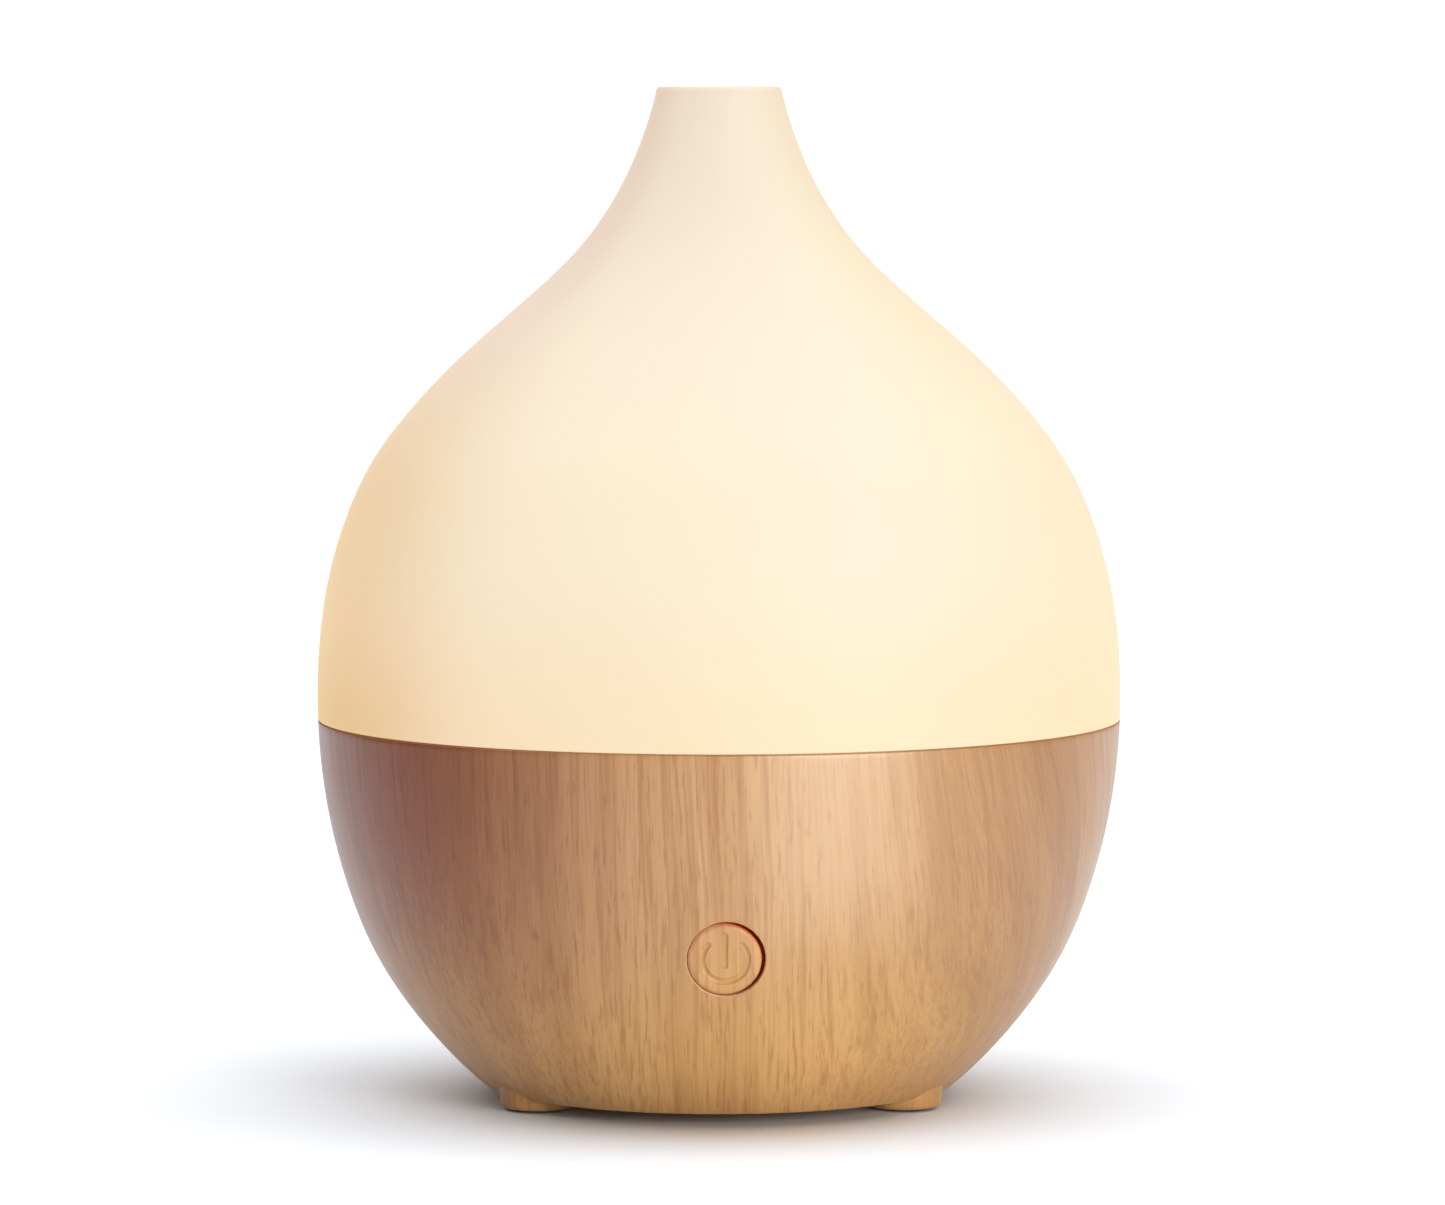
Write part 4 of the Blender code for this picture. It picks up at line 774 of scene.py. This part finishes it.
def make_cap(material):
    """Splash cap on the air column: a domed hood with a window towards the middle."""
    profile = rounded([(0.0, 71.3), (6.2, 71.3, 1.8), (6.2, 66.3, 0.3), (4.1, 66.3), (4.1, 62.0, 0.2),
                       (3.1, 62.0, 0.2), (3.1, 70.1, 0.8), (0.0, 70.1)], closed=False)
    cap = turned("splash_cap_hood", profile, sides=72, closed=False, at=(*COLUMN_AT, 0.0))
    window = bmesh.new()
    add_bevelled(window, (0.0, -2.4, 67.1), (9.0, 2.4, 69.9), 0.6, 4)
    heading = Matrix.Rotation(math.atan2(-COLUMN_AT[1], -COLUMN_AT[0]), 4, "Z")
    window.transform(moved((*COLUMN_AT, 0.0)) @ heading)
    boolean(cap, new_object("cap_window", window, cutter=True))
    settle(cap, "base", "tank_plastic", material, "duct_cap")


def make_pads(material):
    """Rubber pads, slightly dished, with a raised rim."""
    profile = rounded([(0.0, 1.4), (4.2, 1.4, 0.15), (4.2, 0.0, 0.35), (3.3, 0.0, 0.12), (3.1, 0.22, 0.12),
                       (0.0, 0.22)], closed=False)
    for i, (x, y) in enumerate(foot_centres(), 1):
        pad = turned(f"pad_{i}", profile, sides=64, closed=False, at=(x, y, 0.0))
        settle(pad, "base", "rubber", material, f"foot_pad_{i}")


def make_intake_plate(material):
    """Intake plate with rounded slots, a rounded edge, and a ring groove round the slots."""
    profile = rounded([(0.0, 4.1), (24.0, 4.1, 0.2), (24.0, 2.1, 0.4), (17.2, 2.1, 0.1), (17.0, 2.4, 0.1),
                       (16.2, 2.4, 0.1), (16.0, 2.1, 0.1), (0.0, 2.1)], closed=False)
    plate = turned("intake_plate", profile, sides=128, closed=False)
    cuts = bmesh.new()
    for i in range(-3, 4):
        x = i * 3.7
        reach = math.sqrt(13.0 ** 2 - x ** 2) - 1.0
        outline = [(x + math.cos(a), reach + math.sin(a)) for a in np.linspace(0.0, math.pi, 13)]
        outline += [(x - math.cos(a), -reach - math.sin(a)) for a in np.linspace(0.0, math.pi, 13)]
        add_loops(cuts, [[cuts.verts.new(Vector((*point, z)) * MM) for point in outline] for z in (1.0, 5.0)])
    seat = rounded([(0.0, 5.1), (1.2, 5.1), (1.2, 3.3), (2.2, 3.3), (2.2, 2.3), (2.45, 2.1), (2.45, 1.1),
                    (0.0, 1.1)], closed=False)
    for x, y in plate_screw_centres():
        add_turned(cuts, seat, 40, closed=False, at=(x, y, 0.0))
    boolean(plate, new_object("intake_cuts", cuts, cutter=True))
    settle(plate, "base", "dark_plastic", material, "bottom_cover")


def make_screw(node_name, size, at, direction, material):
    """Pan head screw with a cross recess and a threaded shank; at is the middle of its head's underside."""
    name = node_name + "_fixing"
    head, height, shank, length = size
    dome = [(0.0, -height), *rounded([(head * 0.55, -height), (head, -height * 0.85, height * 0.7),
                                      (head, 0.0, 0.08), (shank, 0.0)], closed=False)]
    pitch, shift = 0.55, 0.45
    turns = int((length - 1.0) / pitch)
    thread = []
    for i in range(turns):
        z = 0.5 + i * pitch
        thread += [(shank, z), (shank * 0.82, z + pitch * shift)]
    tip = [(shank * 0.7, length - shank * 0.35), (0.0, length)]
    shape = bmesh.new()
    add_turned(shape, [*dome, *thread, *tip], 32, closed=False)
    screw = new_object(name, shape, 35.0)
    cross = bmesh.new()
    add_cross(cross, head * 0.52, head * 0.11, -height - 0.2, -height * 0.45)
    boolean(screw, new_object(name + "_cross", cross, cutter=True), own=True)
    turn = {"up": 0.0, "front": 90.0, "down": 180.0}[direction]
    screw.data.transform(moved(at) @ Matrix.Rotation(math.radians(turn), 4, "X"))
    settle(screw, "base", "steel", material, node_name)


def make_screws(material):
    """Every screw: the sizes are head radius, head height, shank radius and shank length."""
    post, post_y = BOARD_POST
    for i, (x, y) in enumerate(foot_centres(), 1):
        make_screw(f"tank_screw_{i}", (2.3, 1.9, 1.2, 10.1), (x, y, 3.9), "up", material)
    for i, (x, y) in enumerate(plate_screw_centres(), 1):
        make_screw(f"bottom_screw_{i}", (1.9, 0.8, 0.9, 3.0), (x, y, 3.0), "up", material)
    for i, (x, y) in enumerate(clamp_screw_centres(), 1):
        make_screw(f"clamp_screw_{i}", (1.6, 1.1, 0.8, 3.7), (x, y, 20.4), "up", material)
    for i, side in enumerate((-1, 1), 1):
        fan, switch = side * FAN_SCREW_REACH, side * SWITCH_SCREW_REACH
        make_screw(f"fan_screw_{i}", (1.9, 1.4, 1.1, 11.2), (fan, fan, 16.1), "down", material)
        make_screw(f"board_screw_{i}", (1.8, 1.1, 0.9, 3.8), (side * post, post_y, 10.7), "down", material)
        make_screw(f"switch_board_screw_{i}", (1.8, 1.1, 0.9, 4.8), (switch, -44.3, BUTTON_HEIGHT), "front",
                   material)


def make_mist_maker(ceramic, silicone, steel):
    """Disc with its electrode step, grooved ring, clamp with three holes, and the tank's sealing ring."""
    disc = rounded([(0.0, 24.0), (8.0, 24.0), (8.15, 23.93), (10.0, 23.93, 0.1), (10.0, 23.1, 0.1),
                    (6.4, 23.1), (6.3, 23.16), (0.0, 23.16)], closed=False)
    disc = turned("disc_plate", disc, closed=False)
    settle(disc, "base", "piezo_ceramic", ceramic, "transducer_disc")
    ring = rounded([(11.7, 24.7, 0.4), (11.7, 22.0, 0.4), (8.6, 22.0, 0.3), (8.6, 22.8, 0.2), (10.3, 22.8),
                    (10.3, 24.3), (8.6, 24.3, 0.2), (8.6, 24.7, 0.2)])
    settle(turned("disc_ring", ring), "base", "silicone", silicone, "transducer_seal")
    plate = rounded([(15.8, 21.7, 0.15), (15.8, 20.7, 0.2), (8.6, 20.7, 0.2), (8.6, 21.7, 0.15)])
    clamp = turned("clamp_ring", plate)
    holes = bmesh.new()
    for x, y in clamp_screw_centres():
        add_rod(holes, (x, y, 19.7), (x, y, 22.7), 1.1, 32)
    boolean(clamp, new_object("clamp_cuts", holes, cutter=True))
    settle(clamp, "base", "steel", steel, "transducer_clamp")
    ring = rounded([(62.1, 57.0, 0.5), (62.1, 55.8, 0.5), (60.3, 55.8, 0.5), (60.3, 57.0, 0.5)])
    settle(turned("flange_ring", ring, sides=144), "base", "silicone", silicone, "tank_seal")


def make_socket(material):
    """Power socket: a bevelled body with a round snout, a deep bore, and a centre pin with a rounded end."""
    body = bmesh.new()
    add_bevelled(body, (-4.5, 42.0, 24.5), (4.5, 53.0, 35.5), 0.35, 3)
    socket = new_object("socket_body", body)
    along_y = Matrix.Rotation(math.radians(-90.0), 4, "X")
    tools = (
        ("snout", "UNION", [(0.0, 43.0), (4.9, 43.0), (4.9, 56.0, 0.45), (0.0, 56.0)]),
        ("bore", "DIFFERENCE", [(0.0, 47.0), (2.9, 47.0), (2.9, 55.6, 0.2), (3.3, 56.0), (3.3, 60.0),
                                (0.0, 60.0)]),
        ("pin", "UNION", [(0.0, 46.0), (1.0, 46.0), (1.0, 55.0, 0.45), (0.0, 55.0)]),
    )
    for name, operation, corners in tools:
        tool = turned(f"socket_{name}", rounded(corners, closed=False), sides=72, closed=False,
                      at=(0.0, 0.0, JACK_HEIGHT), turn=along_y, cutter=True)
        boolean(socket, tool, operation)
    settle(socket, "base", "black_epoxy", material, "dc_jack")


def make_impeller(material):
    """Hub cup with seven curved, twisted blades."""
    hub = rounded([(1.05, 14.0), (7.6, 14.0, 0.7), (7.6, 8.3), (6.8, 8.3), (6.8, 12.8, 0.3), (1.05, 12.8)])
    cup = turned("impeller_cup", hub, sides=84)
    blades = bmesh.new()
    steps, rows, blade_count, middle = 8, 12, 7, 10.9
    for k in range(blade_count):
        spoke = 2 * math.pi * k / blade_count
        loops = []
        for i in range(steps + 1):
            out = i / steps
            radius = 7.2 + 6.2 * out
            pitch = math.radians(50.0 - 14.0 * out)
            loop = []
            for side in (1, -1):
                for j in range(rows + 1) if side > 0 else range(rows, -1, -1):
                    t = j / rows - 0.5
                    thick = 0.34 * math.sqrt(max(0.0, 1 - (2 * t) ** 2)) * (1.0 - 0.25 * out)
                    sweep = 0.55 * (1 - 4 * t * t)
                    chord = 5.6 * t
                    high = chord * math.sin(pitch) + (sweep + side * thick) * math.cos(pitch)
                    aside = chord * math.cos(pitch) - (sweep + side * thick) * math.sin(pitch)
                    turn = spoke + aside / radius
                    loop.append((radius * math.cos(turn), radius * math.sin(turn), middle + high * 0.9))
            loop = loop[:rows + 1] + loop[rows + 2:-1]       # the two faces share their edges
            loops.append([blades.verts.new(Vector(point) * MM) for point in loop])
        add_loops(blades, loops)
    boolean(cup, new_object("impeller_blades", blades, cutter=True), "UNION")
    settle(cup, "fan_rotor", "dark_plastic", material, "fan_impeller")


def make_capacitors(material):
    """Capacitors with a rolled groove, a rounded shoulder, and a scored top."""
    for i, (x, y, radius, height) in enumerate(((-1.0, -31.5, 3.15, 9.5), (5.5, -31.5, 2.5, 7.5)), 1):
        low, high = 10.7, 10.7 + height
        outline = rounded([
            (0.0, high - 0.12), (radius - 0.7, high - 0.12, 0.1), (radius - 0.6, high, 0.1),
            (radius, high, 0.35), (radius, low + 1.9, 0.2), (radius - 0.35, low + 1.5, 0.2),
            (radius, low + 1.1, 0.2), (radius, low, 0.3), (0.0, low)], closed=False)
        can = turned(f"capacitor_can_{i}", outline, sides=64, closed=False)
        score = bmesh.new()
        add_cross(score, radius * 0.6, 0.08, high - 0.22, high + 0.5)
        score.transform(moved((x, y, 0.0)) @ Matrix.Rotation(math.radians(20.0), 4, "Z"))
        can.data.transform(moved((x, y, 0.0)))
        boolean(can, new_object(f"capacitor_score_{i}", score, cutter=True), own=True)
        settle(can, "base", "capacitor_sleeve", material, f"capacitor_{i}")


def make_leds(material):
    """LEDs with bevelled packages and a shallow round lens."""
    lens = [(0.0, 24.2), (1.1, 24.2), (1.1, 24.5), (0.95, 24.62), (0.55, 24.69), (0.0, 24.7)]
    for i in range(1, 7):
        angle = 60.0 * i - 30.0
        shape = bmesh.new()
        add_bevelled(shape, (-1.75, -1.4, 23.7), (1.75, 1.4, 24.5), 0.12, 2)
        led = new_object(f"led_package_{i}", shape)
        boolean(led, turned("led_lens", lens, sides=32, closed=False, cutter=True), "UNION")
        turn = Matrix.Rotation(math.radians(angle), 4, "Z")
        led.data.transform(moved((*on_circle(LED_CIRCLE, angle), 0.0)) @ turn)
        settle(led, "base", "led_white", material, f"led_{i}")


# ---------- stage, lights and camera

def make_stage():
    """Pale plain floor."""
    shape = bmesh.new()
    bmesh.ops.create_grid(shape, x_segments=1, y_segments=1, size=6.0)
    floor = new_object("floor", shape)
    material, tree, surface, place = start_material("pale_floor", Roughness=0.75, Specular_IOR_Level=0.2)
    tone = spread(tree, noise(tree, place, 0.002), 0.3, 0.7, 0.85, 0.87)
    cool = vector_of(tree, times(tree, tone, 0.95), tone, times(tree, tone, 1.05))
    feed(surface, "Base Color", cool)
    # Clear from below, so that the underside of the object can be seen through it
    under = node(tree, "NewGeometry").outputs["Backfacing"]
    feed(surface, "Alpha", calc(tree, "SUBTRACT", 1.0, under))
    floor.data.materials.append(material)


def make_key(aside, up, strength, spread_angle, color):
    """Far soft light; angles in degrees: to the right of the front, up, and the width of the light."""
    lamp = bpy.data.lights.new("key", "SUN")
    lamp.energy = strength
    lamp.angle = math.radians(spread_angle)
    lamp.color = color
    holder = bpy.data.objects.new("key", lamp)
    bpy.context.scene.collection.objects.link(holder)
    aside, up = math.radians(aside), math.radians(up)
    way = Vector((math.sin(aside) * math.cos(up), -math.cos(aside) * math.cos(up), math.sin(up)))
    holder.location = way
    holder.rotation_euler = way.to_track_quat("Z", "Y").to_euler()


def make_world():
    """White surroundings: plain white to the eye, and a dimmer light that is brighter from behind."""
    world = bpy.data.worlds.new("surroundings")
    bpy.context.scene.world = world
    world.use_nodes = True
    tree = world.node_tree
    background = tree.nodes["Background"]
    # Direction a ray goes in: x to the right, y away from the front, z up
    way = node(tree, "TexCoord").outputs["Generated"]
    x, y, z = node(tree, "SeparateXYZ", {0: way}).outputs
    behind = spread(tree, y, 0.45, 1.0, 0.0, 0.62)
    behind = times(tree, behind, spread(tree, x, 0.3, -0.2, 0.55, 1.0))
    above = spread(tree, z, 0.60, 0.97, 0.0, 2.5)
    beside = calc(tree, "ADD", spread(tree, x, 0.25, 0.75, 0.0, 2.3), spread(tree, x, -0.25, -0.75, 0.0, 1.4))
    beside = times(tree, beside, spread(tree, z, 0.35, 0.65))
    beside = times(tree, beside, spread(tree, y, -0.6, 0.2, 0.3, 1.0))
    light = calc(tree, "ADD", calc(tree, "ADD", behind, above), calc(tree, "ADD", beside, 0.06))
    seen = node(tree, "LightPath").outputs["Is Camera Ray"]
    white = 1.05
    strength = calc(tree, "MAXIMUM", light, times(tree, seen, white))
    feed(background, "Strength", strength)
    background.inputs["Color"].default_value = (1.0, 1.0, 1.0, 1.0)


def make_camera():
    """Long lens a little left of the front and above the seam; places in metres."""
    camera = bpy.data.objects.new("camera", bpy.data.cameras.new("camera"))
    bpy.context.scene.collection.objects.link(camera)
    camera.data.lens = 173.3
    camera.data.sensor_width = 36.0
    camera.location = (-0.0216, -1.123, 0.1634)
    aim = Vector((0.00057, 0.0, 0.0801)) - camera.location
    camera.rotation_mode = "QUATERNION"
    camera.rotation_quaternion = aim.to_track_quat("-Z", "Y")
    camera.data.clip_start = 0.05
    camera.data.clip_end = 50.0
    bpy.context.scene.camera = camera


# ---------- all together

HOLE_MIDDLE = (0.0, 0.0, BUTTON_HEIGHT)
CAP_MIDDLE = (BUTTON_SHIFT[0], 0.0, BUTTON_HEIGHT + BUTTON_SHIFT[1])
WOOD = wood("oak_finish", 1.0, HOLE_MIDDLE, BUTTON_HOLE + 0.10, BUTTON_HOLE + 0.02)
WOOD_BUTTON = wood("oak_button", 1.12, CAP_MIDDLE, BUTTON_RADIUS - 0.05, BUTTON_RADIUS - 0.01)
FROSTED = frosted()
make_cover(FROSTED)
make_bowl(WOOD)
make_button(WOOD_BUTTON)

MOULDED = {                      # colour, roughness, and what else differs
    "clear_plastic": ((0.80, 0.79, 0.74), 0.22, {"tone": 0.03, "Transmission_Weight": 0.35, "IOR": 1.49}),
    "tank_plastic": ((0.80, 0.80, 0.77), 0.32, {"grain": 0.4, "tone": 0.03, "depth": 0.015}),
    "dark_plastic": ((0.045, 0.045, 0.05), 0.48, {"grain": 0.3, "depth": 0.04}),
    "rubber": ((0.045, 0.045, 0.045), 0.82, {"grain": 0.15, "tone": 0.25, "depth": 0.05}),
    "silicone": ((0.66, 0.65, 0.60), 0.58, {"grain": 0.3, "tone": 0.05}),
    "piezo_ceramic": ((0.70, 0.68, 0.60), 0.32, {"grain": 0.2, "Metallic": 0.6}),
    "led_white": ((0.90, 0.80, 0.45), 0.25, {"grain": 0.3}),
    "black_epoxy": ((0.03, 0.03, 0.033), 0.42, {"grain": 0.2}),
    "capacitor_sleeve": ((0.03, 0.05, 0.17), 0.30, {}),
    "ferrite": ((0.09, 0.085, 0.08), 0.58, {"grain": 0.2}),
    "brass": ((0.72, 0.54, 0.26), 0.32, {"grain": 0.15, "Metallic": 1.0}),
    "red_wire": ((0.48, 0.035, 0.03), 0.42, {}),
    "black_wire": ((0.03, 0.03, 0.03), 0.42, {}),
    "white_wire": ((0.76, 0.76, 0.73), 0.42, {}),
}
FINISHES = {name: moulded(name, color, roughness, **more)
            for name, (color, roughness, more) in MOULDED.items()}
FINISHES.update({
    "circuit_board": circuit_board(),
    "steel": brushed("steel", (0.58, 0.58, 0.60), 0.28, 0.12),
    "aluminium": brushed("aluminium", (0.74, 0.75, 0.77), 0.34, 0.2),
    "copper_winding": winding(),
    "oak_finish": WOOD,
    "frosted_cover": FROSTED,
})
make_guide(FINISHES["clear_plastic"])
make_tank(FINISHES["tank_plastic"])
make_cap(FINISHES["tank_plastic"])
make_pads(FINISHES["rubber"])
make_intake_plate(FINISHES["dark_plastic"])
make_screws(FINISHES["steel"])
make_mist_maker(FINISHES["piezo_ceramic"], FINISHES["silicone"], FINISHES["steel"])
make_socket(FINISHES["black_epoxy"])
make_impeller(FINISHES["dark_plastic"])
make_capacitors(FINISHES["capacitor_sleeve"])
make_leds(FINISHES["led_white"])
for part in frame["record"]["subparts"]:
    piece = frame["nodes"][part["node"]]
    for place in piece.material_slots:
        place.material = FINISHES[part["material_slot"]]

make_stage()
make_world()
make_key(aside=34.0, up=10.0, strength=2.2, spread_angle=26.0, color=(1.0, 0.99, 0.97))
make_camera()
scene = bpy.context.scene
scene.view_settings.view_transform = "Standard"
scene.cycles.use_denoising = True
